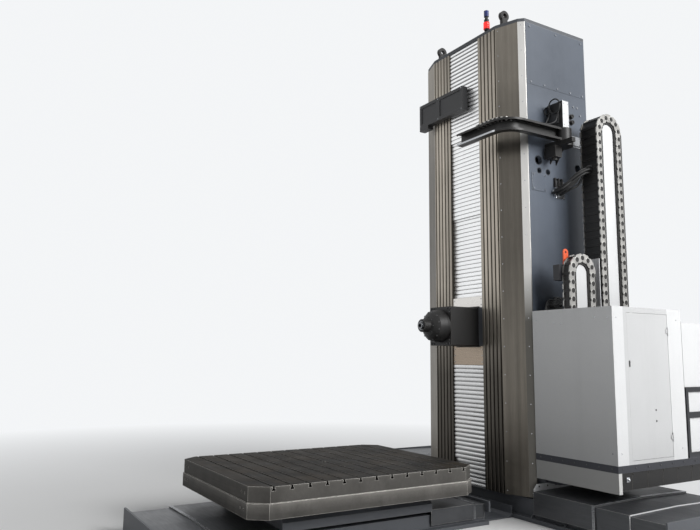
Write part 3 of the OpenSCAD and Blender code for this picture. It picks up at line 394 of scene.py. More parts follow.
SURFACES = {
    "cast_grey": dict(color=(0.075, 0.08, 0.09), rough=0.6, grain=220, bump=0.5, rim=(0.2, 0.2, 0.2)),
    "table_iron": dict(color=(0.088, 0.084, 0.078), rough=0.62, gloss=0.06, spread=0.22, blotch=2.2, grain=60,
                       stretch=ALONG_X, bump=0.2, rim=(0.6, 0.58, 0.54), rim_size=0.01, streak=0.45,
                       streak_stretch=(1, 1, 0.5), tint=table_dust_and_painted_light),
    "ground_steel": dict(color=(0.52, 0.53, 0.55), rough=0.25, metal=1.0, grain=120, stretch=ALONG_X,
                         tint=nose_tint),
    "stainless_cover": dict(color=(0.235, 0.212, 0.180), rough=0.36, metal=0.9, spread=0.14, blotch=0.8,
                            grain=90, stretch=ALONG_Z, bump=0.12, aniso=0.5, streak=0.4, tint=cover_painted_light),
    "slat_steel": dict(color=(0.93, 0.925, 0.92), rough=0.30, metal=0.9, spread=0.06, blotch=1.3, grain=90,
                       stretch=ALONG_X, bump=0.1, aniso=0.5, streak=0.15, streak_stretch=(1, 1, 0.15),
                       tint=slat_painted_light),
    "way_steel": dict(color=(0.085, 0.088, 0.094), rough=0.45, metal=0.6, grain=90, stretch=ALONG_X, bump=0.1,
                      rim=(0.55, 0.54, 0.52), rim_size=0.008, streak=0.4, streak_stretch=(0.3, 1, 1)),
    "column_paint": dict(color=(0.080, 0.094, 0.118), rough=0.33, metal=0.1, spread=0.16, blotch=0.45,
                         grain=260, bump=0.22, rim=(0.24, 0.26, 0.28), streak=0.2, coat=0.12, tint=side_painted_sheen),
    "black_paint": dict(color=(0.0095, 0.0090, 0.0088), rough=0.48, gloss=0.4, spread=0.25, grain=240,
                        bump=0.3, rim=(0.12, 0.11, 0.10)),
    "box_grey": dict(color=(0.034, 0.034, 0.036), rough=0.5, metal=0.1, grain=240, bump=0.3,
                     rim=(0.16, 0.16, 0.16)),
    "frame_grey": dict(color=(0.030, 0.032, 0.042), rough=0.5, grain=240, bump=0.3, rim=(0.14, 0.14, 0.15),
                       tint=platform_tint),
    "white_paint": dict(color=(0.66, 0.665, 0.67), rough=0.42, spread=0.04, blotch=0.6, grain=300, bump=0.12,
                        streak=0.10, coat=0.15, tint=wall_shade_and_bay),
    "chain_steel": dict(color=(0.42, 0.41, 0.39), rough=0.38, metal=0.85, spread=0.2, blotch=6, grain=80,
                        stretch=ALONG_Z, rim=(0.7, 0.7, 0.68)),
    "hose_rubber": dict(color=(0.015, 0.015, 0.015), rough=0.55, grain=300, bump=0.4),
    "lift_orange": dict(color=(0.76, 0.10, 0.025), rough=0.45, spread=0.1, grain=200, bump=0.2,
                        rim=(0.5, 0.25, 0.18)),
}
LENSES = {"lens_red": ((0.85, 0.02, 0.015), 1.2), "lens_blue": ((0.012, 0.025, 0.16), 0.1)}


def lens_material(name, color, glow):
    """A ribbed signal lens, lit from inside."""
    n = Nodes(name)
    ribs = n.noise(55.0, (0.02, 0.02, 1), detail=1.0)
    look = n.mix(n.span(ribs, 0, 1), shade(color, 0.5), color)
    n.join(look, n.shader.inputs["Base Color"])
    n.join(look, n.shader.inputs["Emission Color"])
    n.shader.inputs["Emission Strength"].default_value = glow
    n.shader.inputs["Roughness"].default_value = 0.2
    return n.material


MATERIALS = {name: surface(name, **look) for name, look in SURFACES.items()}
MATERIALS.update((name, lens_material(name, *look)) for name, look in LENSES.items())

for part in frame["record"]["subparts"]:
    mesh = frame["nodes"][part["node"]].data
    mesh.materials.clear()
    mesh.materials.append(MATERIALS[part["material_slot"]])


# Making pieces
SHARP_FROM = 35  # degrees between faces that keep a sharp edge
ON_AXIS = 1e-6
PLUS_X, FRONT, UP = (1, 0, 0), (0, -1, 0), (0, 0, 1)


def steps(start, end, count):
    """Evenly spaced values from start to end."""
    return [start + (end - start) * i / (count - 1) for i in range(count)]


def bend(points, count=8):
    """A smooth curve through points."""
    points = [Vector(p) for p in points]
    ends = [points[0] * 2 - points[1]] + points + [points[-1] * 2 - points[-2]]
    curve = []
    for a, b, c, d in zip(ends, ends[1:], ends[2:], ends[3:]):
        for k in range(count):
            s = k / count
            curve.append(0.5 * (2 * b + (c - a) * s + (2 * a - 5 * b + 4 * c - d) * s * s
                                + (3 * b - a - 3 * c + d) * s ** 3))
    return curve + [points[-1]]


class Shape:
    """Boxes, bars, turned parts, bolts and tubes gathered into one mesh."""

    def __init__(self):
        self.bm = bmesh.new()

    def box(self, lo, hi, bevel=0.0):
        made = bmesh.ops.create_cube(self.bm, size=1.0)["verts"]
        lo, hi = Vector(lo), Vector(hi)
        for v in made:
            v.co = Vector(lo[i] + (v.co[i] + 0.5) * (hi[i] - lo[i]) for i in range(3))
        if bevel:
            edges = list(dict.fromkeys(e for v in made for e in v.link_edges))
            bmesh.ops.bevel(self.bm, geom=edges, offset=bevel, segments=2, affect="EDGES", profile=0.5)
        return self

    def prism(self, start, end):
        """A closed body between two outlines with the same number of corners."""
        a, b = ([self.bm.verts.new(p) for p in outline] for outline in (start, end))
        for k in range(len(a)):
            after = (k + 1) % len(a)
            self.bm.faces.new((a[k], a[after], b[after], b[k]))
        self.bm.faces.new(a[::-1])
        self.bm.faces.new(b)
        return self

    def beam(self, a, b, side, up):
        """A square bar from a to b; side and up are half its width and height."""
        corners = [s * side + u * up for s, u in ((-1, -1), (1, -1), (1, 1), (-1, 1))]
        return self.prism(*([Vector(p) + c for c in corners] for p in (a, b)))

    def turned(self, at, axis, profile, sides=24, hollow=False):
        """A turned part: profile holds (distance along axis, radius), and is a closed loop where hollow."""
        turn = Vector((0, 0, 1)).rotation_difference(Vector(axis)).to_matrix()
        rings = []
        for along, radius in profile:
            corners = [(0, 0)] if radius < ON_AXIS else [
                (radius * math.cos(2 * math.pi * k / sides), radius * math.sin(2 * math.pi * k / sides))
                for k in range(sides)]
            rings.append([self.bm.verts.new(turn @ Vector((*c, along)) + Vector(at)) for c in corners])
        for a, b in zip(rings, rings[1:] + rings[:1] if hollow else rings[1:]):
            for k in range(sides):
                corners = [a[k % len(a)], a[(k + 1) % len(a)], b[(k + 1) % len(b)], b[k % len(b)]]
                self.bm.faces.new(list(dict.fromkeys(corners)))
        for end in () if hollow else (rings[0][::-1], rings[-1]):
            if len(end) > 1:
                self.bm.faces.new(end)
        return self

    def bolt(self, at, axis, radius=0.012, height=None, sides=18):
        """A cap screw: a chamfered head with a hollow."""
        h = height or radius * 1.1
        hole = radius * 0.5
        return self.turned(at, axis, [(0, radius), (h * 0.85, radius), (h, radius * 0.88), (h, hole),
                                      (h * 0.45, hole * 0.95), (h * 0.42, 0)], sides)

    def corner_bolts(self, x, lo, hi, inset, radius):
        """Four bolts on a plate that faces +X; lo and hi are two of its corners, as Y and Z."""
        for y in (lo[0] + inset, hi[0] - inset):
            for z in (lo[1] + inset, hi[1] - inset):
                self.bolt((x, y, z), PLUS_X, radius)
        return self

    def tube(self, points, radius, sides=12):
        """A round tube along points."""
        points = [Vector(p) for p in points]
        ways = [(points[min(i + 1, len(points) - 1)] - points[max(i - 1, 0)]).normalized()
                for i in range(len(points))]
        side = ways[0].orthogonal().normalized()
        rings = []
        for p, way in zip(points, ways):
            side = (side - way * side.dot(way)).normalized()
            up = way.cross(side)
            rings.append([self.bm.verts.new(p + radius * (math.cos(2 * math.pi * k / sides) * side
                          + math.sin(2 * math.pi * k / sides) * up)) for k in range(sides)])
        for a, b in zip(rings, rings[1:]):
            for k in range(sides):
                self.bm.faces.new((a[k], a[(k + 1) % sides], b[(k + 1) % sides], b[k]))
        self.bm.faces.new(rings[0][::-1])
        self.bm.faces.new(rings[-1])
        return self

    def place(self, name, slot, body, smooth=True):
        """Makes the mesh a piece that rides on body."""
        mesh = bpy.data.meshes.new(name)
        bmesh.ops.recalc_face_normals(self.bm, faces=self.bm.faces[:])
        self.bm.to_mesh(mesh)
        self.bm.free()
        piece = bpy.data.objects.new(name, mesh)
        scene.collection.objects.link(piece)
        mesh.materials.append(MATERIALS[slot])
        if smooth:
            mesh.shade_smooth()
            mesh.set_sharp_from_angle(angle=math.radians(SHARP_FROM))
        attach(piece, body)
        return piece


# Column's side; places on it are given as Y and Z
SEAM_Z, PANEL_T = 7.14, 0.006
PANEL_BOLT = 0.014
INSPECTION, INSPECTION_T = ((3.135, 5.29), (3.455, 5.59)), 0.012
SINGLE_BOLTS = ((4.30, 6.93), (4.20, 6.93), (4.36, 6.20), (4.30, 6.20), (4.24, 6.20))
CORE_HOLES = ((3.300, 5.822, 0.075), (3.316, 5.644, 0.045), (3.524, 5.643, 0.045), (4.274, 5.814, 0.065))
RIM_SINK, RIM_W, RIM_H = 0.002, 0.007, 0.005


def column_side():
    """The upper panels, the inspection plate, single bolts and the core holes' rims."""
    panels, bolts = Shape(), Shape()
    for s in (1, -1):
        outer = s * (side_x + PANEL_T)
        x0, x1 = sorted((s * side_x, outer))
        panels.box((x0, column_lo.y + 0.002, SEAM_Z), (x1, column_hi.y - 0.01, column_hi.z - 0.01), 0.002)
        for count, z in ((5, SEAM_Z + 0.035), (3, column_hi.z - 0.07)):
            for y in steps(column_lo.y + 0.09, column_hi.y - 0.10, count):
                bolts.bolt((outer, y, z), (s, 0, 0), PANEL_BOLT)
    panels.place("upper_side_panels", "column_paint", "column", smooth=False)
    bolts.place("upper_panel_bolts", "ground_steel", "column")

    lo, hi = INSPECTION
    plate = Shape().box((side_x, *lo), (side_x + INSPECTION_T, *hi), 0.003)
    plate.place("inspection_plate", "column_paint", "column", smooth=False)
    bolts = Shape().corner_bolts(side_x + INSPECTION_T, lo, hi, inset=0.03, radius=0.012)
    for spot in SINGLE_BOLTS:
        bolts.bolt((side_x, *spot), PLUS_X, 0.016)
    bolts.place("side_bolts", "ground_steel", "column")

    rims = Shape()
    for y, z, r in CORE_HOLES:
        profile = ((0, r), (0, r + RIM_W), (RIM_H, r + RIM_W), (RIM_H, r))
        rims.turned((side_x - RIM_SINK, y, z), PLUS_X, profile, sides=32, hollow=True)
    rims.place("core_hole_rims", "frame_grey", "column")


# Energy chains: y is the middle between a chain's two legs, r the radius of its middle line round the bend
LINK_PITCH, LINK_H = 0.133, 0.14
SMALL_R, TALL_R = 0.235, 0.245
CHAINS = (
    {"y": chains_lo.y + LINK_H / 2 + SMALL_R, "r": SMALL_R, "top": 4.160, "x0": chains_hi.x - 0.150,
     "x1": chains_hi.x},
    {"y": chains_hi.y - LINK_H / 2 - TALL_R, "r": TALL_R, "top": chains_hi.z, "x0": chains_lo.x,
     "x1": chains_hi.x},
)
JOINT_RING = ((0, 0.050), (0.003, 0.049), (0.004, 0.040), (0, 0.039))
JOINT_CAP = ((0, 0.039), (0.006, 0.038), (0.007, 0.031), (0.004, 0.016), (0.009, 0.013), (0.010, 0))
CROSSBAR_IN, CROSSBAR_END = 0.018, 0.018  # in from the links' outer edge and from the side plates' faces
CROSSBAR_W, CROSSBAR_H = 0.018, 0.008  # halves
EDGE_SHADE_BAND, EDGE_SHADE_BAND_T = (0.026, 0.001), 0.002  # in from a leg's edge at +Y; a black strip on the plates, painted shade


def chain_bend_z(chain):
    """Where a chain's straight legs end and its bend begins."""
    return chain["top"] - chain["r"] - LINK_H / 2


def chain_path(chain):
    """Points and outward directions of the link joints, up, over and down."""
    foot, bend_z = wall_lo.z, chain_bend_z(chain)
    run, arc = bend_z - foot, math.pi * chain["r"]
    count = round((2 * run + arc) / LINK_PITCH)
    for i in range(count):
        s = (2 * run + arc) / count * i
        if s < run:
            yield (chain["y"] - chain["r"], foot + s), (-1, 0)
        elif s < run + arc:
            a = (s - run) / chain["r"]
            yield ((chain["y"] - chain["r"] * math.cos(a), bend_z + chain["r"] * math.sin(a)),
                   (-math.cos(a), math.sin(a)))
        else:
            yield (chain["y"] + chain["r"], bend_z - (s - run - arc)), (1, 0)


def chain_details():
    """Each chain's joints and their rings, its crossbars, and a black strip along each leg's +Y edge as
    painted shade.
    """
    joints, rings, bars = Shape(), Shape(), Shape()
    for chain in CHAINS:
        x0, x1 = chain["x0"], chain["x1"]
        for (y, z), (dy, dz) in chain_path(chain):
            for x, way in ((x1, 1), (x0, -1)):
                rings.turned((x, y, z), (way, 0, 0), JOINT_RING, sides=20)
                joints.turned((x, y, z), (way, 0, 0), JOINT_CAP, sides=16)
            at = Vector((0, y, z)) + Vector((0, dy, dz)) * (LINK_H / 2 - CROSSBAR_IN)
            bars.beam((x0 + CROSSBAR_END, at.y, at.z), (x1 - CROSSBAR_END, at.y, at.z),
                      Vector((0, -dz, dy)) * CROSSBAR_W, Vector((0, dy, dz)) * CROSSBAR_H)
        # a black strip on each leg's +Y edge, painted shade
        for leg in (chain["y"] - chain["r"], chain["y"] + chain["r"]):
            y0, y1 = (leg + LINK_H / 2 - inset for inset in EDGE_SHADE_BAND)
            joints.box((x1, y0, wall_lo.z), (x1 + EDGE_SHADE_BAND_T, y1, chain_bend_z(chain)))
    joints.place("chain_joints_and_edge_shade", "black_paint", "column")
    rings.place("chain_joint_rings", "chain_steel", "column")
    bars.place("chain_crossbars", "black_paint", "column", smooth=False)


# Spindle and ram. A bolt circle: how many, first angle, radius, distance before the ram's face, the way
# that the heads look (out from the middle, along Y), the heads' radius
BOLT_CIRCLES = ((12, 15, 0.234, 0.211, (0.75, -0.66), 0.013), (8, 0, 0.143, 0.268, (0.31, -0.95), 0.010))
RAM_FACE_BOLTS = ((0.245, 0.295), (0.185, 0.300), (0.245, 0.235))
HOUSING_BOLT_H = 0.010
KEY_X, KEY_H = (0.040, 0.058), 0.012  # from the middle; half the height


def spindle_details():
    """Bolts of the spindle housing and the ram's face, and the spindle's two keys."""
    bolts = Shape()
    for count, first, reach, ahead, (out, forward), radius in BOLT_CIRCLES:
        for k in range(count):
            a = math.radians(360 / count * k + first)
            bolts.bolt((reach * math.cos(a), ram_lo.y - ahead, spindle_z + reach * math.sin(a)),
                       (out * math.cos(a), forward, out * math.sin(a)), radius, HOUSING_BOLT_H)
    bolts.place("housing_bolts", "box_grey", "ram")
    bolts = Shape()
    for sx in (-1, 1):
        for sz in (-1, 1):
            for x, z in RAM_FACE_BOLTS:
                bolts.bolt((sx * x, ram_lo.y, spindle_z + sz * z), FRONT, 0.014)
    bolts.place("ram_face_bolts", "box_grey", "ram")
    keys = Shape()
    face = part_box("spindle")[0].y
    for s in (-1, 1):
        x0, x1 = sorted(s * x for x in KEY_X)
        keys.box((x0, face - 0.005, spindle_z - KEY_H), (x1, face + 0.010, spindle_z + KEY_H), 0.002)
    keys.place("spindle_keys", "ground_steel", "spindle", smooth=False)


# Hoses and cables on the column's side
GLAND, GLAND_T = ((3.69, 5.21), (3.90, 5.52)), 0.014
HOSES_AT = (3.703, 5.323)  # the middle of where they leave the side
HOSE_NUTS = ((-0.084, 0), (0, 0.034), (0.084, 0), (-0.046, -0.06), (0.046, -0.06))
NUT = ((0, 0.026), (0.030, 0.026), (0.034, 0.022), (0.034, 0.0195), (0.002, 0.0195))
THIN_HOSES = ((-0.042, 0.030), (0.042, 0.032), (-0.11, -0.035), (0.0, -0.030), (0.10, -0.040))
THIN_HOSE_R, CABLE_R = 0.018, 0.015
EXIT_OUT = 0.012
CLAMPS_Y, CLAMP_Z = (3.66, 3.74, 3.82), (5.40, 5.56)
CLAMP_OUT, CLAMP_HALF = 0.045, 0.012
ENTRY, ENTRY_T = ((3.56, 3.30), (3.76, 3.52)), 0.02
CABLES = 7


def off_side(out, y, z):
    """A point out from the column's side."""
    return Vector((side_x + out, y, z))


def hose_fittings():
    """The hoses' gland plate and nuts, the thin hoses, and the clamps over them."""
    gland = Shape().box(off_side(0, *GLAND[0]), off_side(GLAND_T, *GLAND[1]), 0.003)
    gland.corner_bolts(side_x + GLAND_T, *GLAND, inset=0.02, radius=0.009)
    gland.place("hose_gland_plate", "ground_steel", "column", smooth=False)
    nuts, hoses, clamps = Shape(), Shape(), Shape()
    for dy, dz in HOSE_NUTS:
        nuts.turned(off_side(EXIT_OUT, HOSES_AT[0] + dy, HOSES_AT[1] + dz), PLUS_X, NUT, sides=6)
    nuts.place("hose_nuts", "ground_steel", "column", smooth=False)
    for k, (dy, dz) in enumerate(THIN_HOSES):
        at = off_side(EXIT_OUT, HOSES_AT[0] + dy, HOSES_AT[1] + dz)
        hoses.tube(bend([at, at + Vector((0.20, 0.02, 0.02 + 0.01 * k)), at + Vector((0.29, 0.12, 0.14)),
                         off_side(0.37 + 0.02 * k, 3.90 + 0.01 * k, 5.59 + 0.02 * k),
                         off_side(0.36 + 0.045 * k, 3.982, 5.60 + 0.025 * k)]), THIN_HOSE_R)
    hoses.place("thin_hoses", "hose_rubber", "column")
    for y in CLAMPS_Y:
        clamps.box(off_side(0, y - CLAMP_HALF, CLAMP_Z[0]),
                   off_side(CLAMP_OUT, y + CLAMP_HALF, CLAMP_Z[1]), 0.004)
        clamps.bolt(off_side(CLAMP_OUT, y, CLAMP_Z[1] - 0.03), PLUS_X, 0.008)
    clamps.place("hose_clamps", "black_paint", "column", smooth=False)


def side_cables():
    """Cables from the entry plate along the side and down behind the wall to the platform's floor."""
    cables = Shape()
    for k in range(CABLES):
        y, lift = 3.72 - 0.02 * k, 0.018 * ((k * 5) % CABLES)
        out = 0.15 + 0.015 * k
        cables.tube(bend([off_side(0.005, y, 3.36 + lift), off_side(0.07, y - 0.06, 3.40 + lift),
                          off_side(0.10 + 0.01 * k, y - 0.24, 3.34 + lift),
                          off_side(0.12 + 0.012 * k, y - 0.40, 3.31 + lift),
                          off_side(out - 0.01, y - 0.48, 3.18), off_side(out, y - 0.50, 2.2),
                          off_side(out, y - 0.50, wall_lo.z)]), CABLE_R)
    cables.place("side_cables", "hose_rubber", "column")
    entry = Shape().box(off_side(0, *ENTRY[0]), off_side(ENTRY_T, *ENTRY[1]), 0.004)
    entry.corner_bolts(side_x + ENTRY_T, *ENTRY, inset=0.015, radius=0.008)
    entry.place("cable_entry_plate", "box_grey", "column", smooth=False)


# Boom. The highlight strip and the carrier turn on a tighter circle than the arm
BEND_AT = Vector((1.30, boom_lo.y + 0.25, 0))
BEND_R = 0.25  # of the strip's inner face
CARRIER_IN = 0.055  # from that face to the carrier's middle
CARRIER_START, CARRIER_END_Y = 0.92, boom_lo.y + 1.0
CARRIER_HALF_W, CARRIER_HALF_H, CARRIER_FILL = 0.036, 0.030, 0.86  # a link fills this share of its pitch
COILS = ((1.555, 0.40, 0.120), (1.40, 0.36, 0.060))  # X, height over the arm, radius
COIL_OUT, COIL_LEAN, COIL_THICK = 0.045, 0.010, 0.012
BOOM_CABLES = (  # radius, then X, distance before the post, height over the arm
    (0.014, ((1.44, 0.02, 0.30), (1.42, 0.12, 0.12), (1.47, 0.30, 0.05), (1.49, 0.42, 0.045))),
    (0.012, ((1.60, 0.02, 0.24), (1.60, 0.10, 0.10), (1.52, 0.26, 0.05), (1.50, 0.42, 0.045))))
TERMINAL_X, TERMINAL_RISE, TERMINAL_T = (1.40, 1.62), (0.10, 0.30), 0.020
TERMINAL_INSET = 0.02
# The bright strip on the arm's lip is a painted highlight
LIP_STRIP_T, LIP_STRIP_H = 0.004, 0.029


def on_bend(radius, degrees, z):
    """A point on the strip's and the carrier's bend."""
    a = math.radians(degrees)
    return BEND_AT + Vector((radius * math.cos(a), radius * math.sin(a), z))


def boom_carrier():
    """The small cable chain, on the arm up to the bend and beside it after; every second link is dark."""
    path = [Vector((x, boom_lo.y + CARRIER_IN, arm_top)) for x in steps(CARRIER_START, BEND_AT.x, 9)]
    path += [on_bend(BEND_R - CARRIER_IN, a, arm_top) for a in steps(-80, 0, 9)]
    path += [Vector((BEND_AT.x + BEND_R - CARRIER_IN, y, arm_top))
             for y in steps(boom_lo.y + 0.31, CARRIER_END_Y, 14)]
    dark, light = Shape(), Shape()
    for k, (a, b) in enumerate(zip(path, path[1:])):
        way = (b - a).normalized()
        side = Vector((-way.y, way.x, 0)) * CARRIER_HALF_W
        link = dark if k % 2 else light
        link.beam(a, a + way * (b - a).length * CARRIER_FILL, side, Vector((0, 0, CARRIER_HALF_H)))
    dark.place("boom_carrier_dark_links", "black_paint", "boom", smooth=False)
    light.place("boom_carrier_light_links", "chain_steel", "boom", smooth=False)


def boom_cables():
    """Two coils before the post, and two cables from it down to the small chain."""
    cables = Shape()
    for x, rise, r in COILS:
        coil = [(x + r * math.cos(a), post_lo.y - COIL_OUT - COIL_LEAN * math.sin(a),
                 arm_top + rise + r * math.sin(a)) for a in steps(0.3, 2 * math.pi + 0.1, 32)]
        cables.tube(coil, COIL_THICK)
    for radius, route in BOOM_CABLES:
        cables.tube(bend([(x, post_lo.y - ahead, arm_top + rise) for x, ahead, rise in route]), radius)
    cables.place("boom_cables", "hose_rubber", "boom")


def boom_post():
    """The terminal plate on the post's front, and the screws of its side."""
    plate, front = Shape(), post_lo.y - TERMINAL_T
    (x0, x1), (z0, z1) = TERMINAL_X, (arm_top + rise for rise in TERMINAL_RISE)
    plate.box((x0, front, z0), (x1, post_lo.y, z1), 0.004)
    for x in (x0 + TERMINAL_INSET, x1 - TERMINAL_INSET):
        for z in (z0 + TERMINAL_INSET, z1 - TERMINAL_INSET):
            plate.bolt((x, front, z), FRONT, 0.009)
    plate.place("boom_terminal_plate", "box_grey", "boom", smooth=False)
    screws = Shape()
    for z in steps(arm_top + 0.05, arm_top + 0.42, 3):
        for y in (post_lo.y + 0.022, post_hi.y - 0.022):
            screws.bolt((post_hi.x, y, z), PLUS_X, 0.007)
    screws.place("boom_post_screws", "ground_steel", "boom")


def boom_lip_highlight_strip():
    """A bright steel strip along the lower edge of the arm's front, a painted highlight on the arm's lip; its
    bend runs inside the arm.
    """
    strip = Shape()
    foot = boom_lo.z + 0.001
    strip.box((boom_lo.x + 0.002, boom_lo.y - LIP_STRIP_T, foot), (BEND_AT.x, boom_lo.y, foot + LIP_STRIP_H), 0.001)
    turns, z = steps(-90, 0, 13), foot + LIP_STRIP_H / 2
    for turn, after in zip(turns, turns[1:]):
        a, b = (on_bend(BEND_R + LIP_STRIP_T / 2, degrees, z) for degrees in (turn, after))
        out = ((a + b) / 2 - BEND_AT - Vector((0, 0, z))).normalized() * LIP_STRIP_T / 2
        strip.beam(a, b, out, Vector((0, 0, LIP_STRIP_H / 2)))
    strip.place("boom_lip_highlight_strip", "ground_steel", "boom", smooth=False)


def boom_post_cover():
    """The white sheet on the post, with a folded front edge."""
    cover = Shape()
    cover.box((post_hi.x, post_lo.y + 0.004, post_lo.z + 0.004),
              (post_hi.x + 0.004, post_hi.y - 0.004, post_hi.z - 0.004), 0.002)
    cover.box((post_hi.x, post_lo.y - 0.012, post_lo.z),
              (post_hi.x + 0.008, post_lo.y + 0.004, post_hi.z), 0.002)
    cover.place("boom_post_cover", "white_paint", "boom", smooth=False)


BRACKET_BOLTS_Y, BRACKET_BOLTS_Z = (3.97, 4.38), (6.55, 6.80)
RAIL, RAIL_T = ((3.97, 6.185), (4.39, 6.205)), 0.012
BACKING, BACKING_T = ((3.64, 6.225), (4.37, 6.390)), 0.010
BACKING_BOLTS_Y, BACKING_BOLTS_Z = (3.67, 4.00, 4.34), (6.245, 6.370)
PLUGS = ((4.130, 6.735), (4.140, 6.630))
PLUG = ((0, 0.046), (0.012, 0.046), (0.014, 0.038), (0.050, 0.038), (0.054, 0.034), (0.054, 0.020),
        (0.046, 0.018), (0.046, 0))


def side_rail():
    """Bolts, a narrow rail and a backing plate beside the boom's bracket, and two plugs over them."""
    rail = Shape()
    for y in BRACKET_BOLTS_Y:
        for z in BRACKET_BOLTS_Z:
            rail.bolt((side_x, y, z), PLUS_X, 0.016)
    rail.box(off_side(0, *RAIL[0]), off_side(RAIL_T, *RAIL[1]), 0.003)
    rail.box(off_side(0, *BACKING[0]), off_side(BACKING_T, *BACKING[1]), 0.003)
    for y in BACKING_BOLTS_Y:
        for z in BACKING_BOLTS_Z:
            rail.bolt((side_x + BACKING_T, y, z), PLUS_X, 0.010)
    rail.place("side_rail", "ground_steel", "column", smooth=False)
    plugs = Shape()
    for spot in PLUGS:
        plugs.turned((side_x, *spot), PLUS_X, PLUG)
    plugs.place("side_plugs", "black_paint", "column")


# Column's front. A row of cover screws: X, distance behind the front, and the way they look
COVER_SCREW_ROWS = ((side_x - 0.045, 0.190, (0.70, -0.71)), (0.900, 0.0185, (0.36, -0.93)))
PLATE_SCREWS_X, WIPER_REACH, WIPER_OUT = 0.355, 0.31, 0.012
WIPER_GAP, WIPER_W = 0.005, 0.022  # from the ram to the wiper's near and far edge


def front_details():
    """Screws of the ribbed covers, the lamp box and the ram's plates, and the ram's wipers."""
    screws = Shape()
    cover_lo, cover_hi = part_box("front_cover_right")
    for s in (1, -1):
        for z in steps(cover_lo.z + 0.06, cover_hi.z - 0.06, 18):
            for x, back, (out, forward) in COVER_SCREW_ROWS:
                screws.bolt((s * x, front_y + back, z), (s * out, forward, 0), 0.008, 0.005)
    screws.place("cover_screws", "ground_steel", "column")

    screws = Shape()
    lo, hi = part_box("lamp_box")
    for x in (lo.x + 0.03, lo.x + 0.57, hi.x - 0.03):
        for z in (lo.z + 0.10, hi.z - 0.03):
            screws.bolt((x, lo.y, z), FRONT, 0.010, 0.006)
    for x in steps(lo.x + 0.1, hi.x - 0.1, 6):
        screws.bolt((x, lo.y + 0.06, hi.z), UP, 0.009, 0.006)
    screws.place("lamp_box_screws", "ground_steel", "column")

    screws, wipers = Shape(), Shape()
    face, foot = ram_plates_lo.y, ram_plates_lo.z
    for s in (1, -1):
        for z in (foot + 0.05, foot + 0.16, foot + 0.27, ram_hi.z + 0.05, ram_hi.z + 0.15):
            screws.bolt((s * PLATE_SCREWS_X, face, z), FRONT, 0.010, 0.006)
    screws.place("ram_plate_screws", "ground_steel", "headstock")
    for z0, z1 in ((ram_lo.z - WIPER_W, ram_lo.z - WIPER_GAP), (ram_hi.z + WIPER_GAP, ram_hi.z + WIPER_W)):
        wipers.box((-WIPER_REACH, face - WIPER_OUT, z0), (WIPER_REACH, face, z1), 0.003)
    wipers.place("ram_wipers", "black_paint", "headstock", smooth=False)


# Walls
SEAMS_Y, SEAM_T, SEAM_HALF = (3.256, 4.300), 0.001, 0.003  # they lie inside the sheet
FRONT_SCREWS = ((1.813, 3.053), (1.951, 3.04), (2.578, 3.112), (1.45, 3.10), (2.80, 3.10), (1.45, 1.20),
                (2.80, 1.20))  # X and Z
SIDE_SCREWS = ((3.10, 1.2), (3.10, 3.1), (4.50, 1.2), (4.50, 3.1))  # Y and Z
LATCH = ((3.348, 2.40), (3.372, 2.49))  # Y and Z
KEYHOLE_AT, KEYHOLE = (3.360, 2.46), ((0, 0.010), (0.004, 0.010), (0.006, 0.007), (0.006, 0))
DOOR_PLUG = ((0, 0.014), (0.005, 0.014), (0.007, 0.010), (0.003, 0))
DOOR_PLUGS = ((3.915, 1.775), (3.915, 1.618))


def wall_details():
    """Seams and screws of the walls, the door's latch and the two plugs in it."""
    seams, screws = Shape(), Shape()
    for y in SEAMS_Y:
        seams.box((wall_x - SEAM_T, y - SEAM_HALF, wall_lo.z + 0.02),
                  (wall_x + SEAM_T, y + SEAM_HALF, wall_hi.z - 0.05))
    seams.place("wall_seams", "frame_grey", "column", smooth=False)
    for x, z in FRONT_SCREWS:
        screws.bolt((x, platform_lo.y, z), FRONT, 0.010, 0.006)
    for spot in SIDE_SCREWS:
        screws.bolt((wall_x, *spot), PLUS_X, 0.010, 0.006)
    screws.place("wall_screws", "ground_steel", "column")
    latch_x = wall_x + 0.010
    latch = Shape().box((wall_x - 0.002, *LATCH[0]), (latch_x, *LATCH[1]), 0.003)
    latch.turned((latch_x, *KEYHOLE_AT), PLUS_X, KEYHOLE, sides=16)
    for spot in DOOR_PLUGS:
        latch.turned((wall_x, *spot), PLUS_X, DOOR_PLUG, sides=16)
    latch.place("door_latch", "box_grey", "enclosure_door")


# Platform
FLOOR_BOLTS_Z = 0.995
VALANCE_IN, VALANCE_T, VALANCE_Z = 0.020, 0.006, (0.70, 0.938)
FITTING = ((2.84, 3.19, 0.81), (2.878, 3.25, 0.88))
NIPPLE = ((0, 0.020), (0.020, 0.020), (0.024, 0.015), (0.024, 0))
LOUVRES, LOUVRES_FROM, LOUVRES_TO = 12, 0.55, 0.20  # down from the cabinet's top
LOUVRE_HALF_T, LOUVRE_HALF_H = 0.004, 0.006


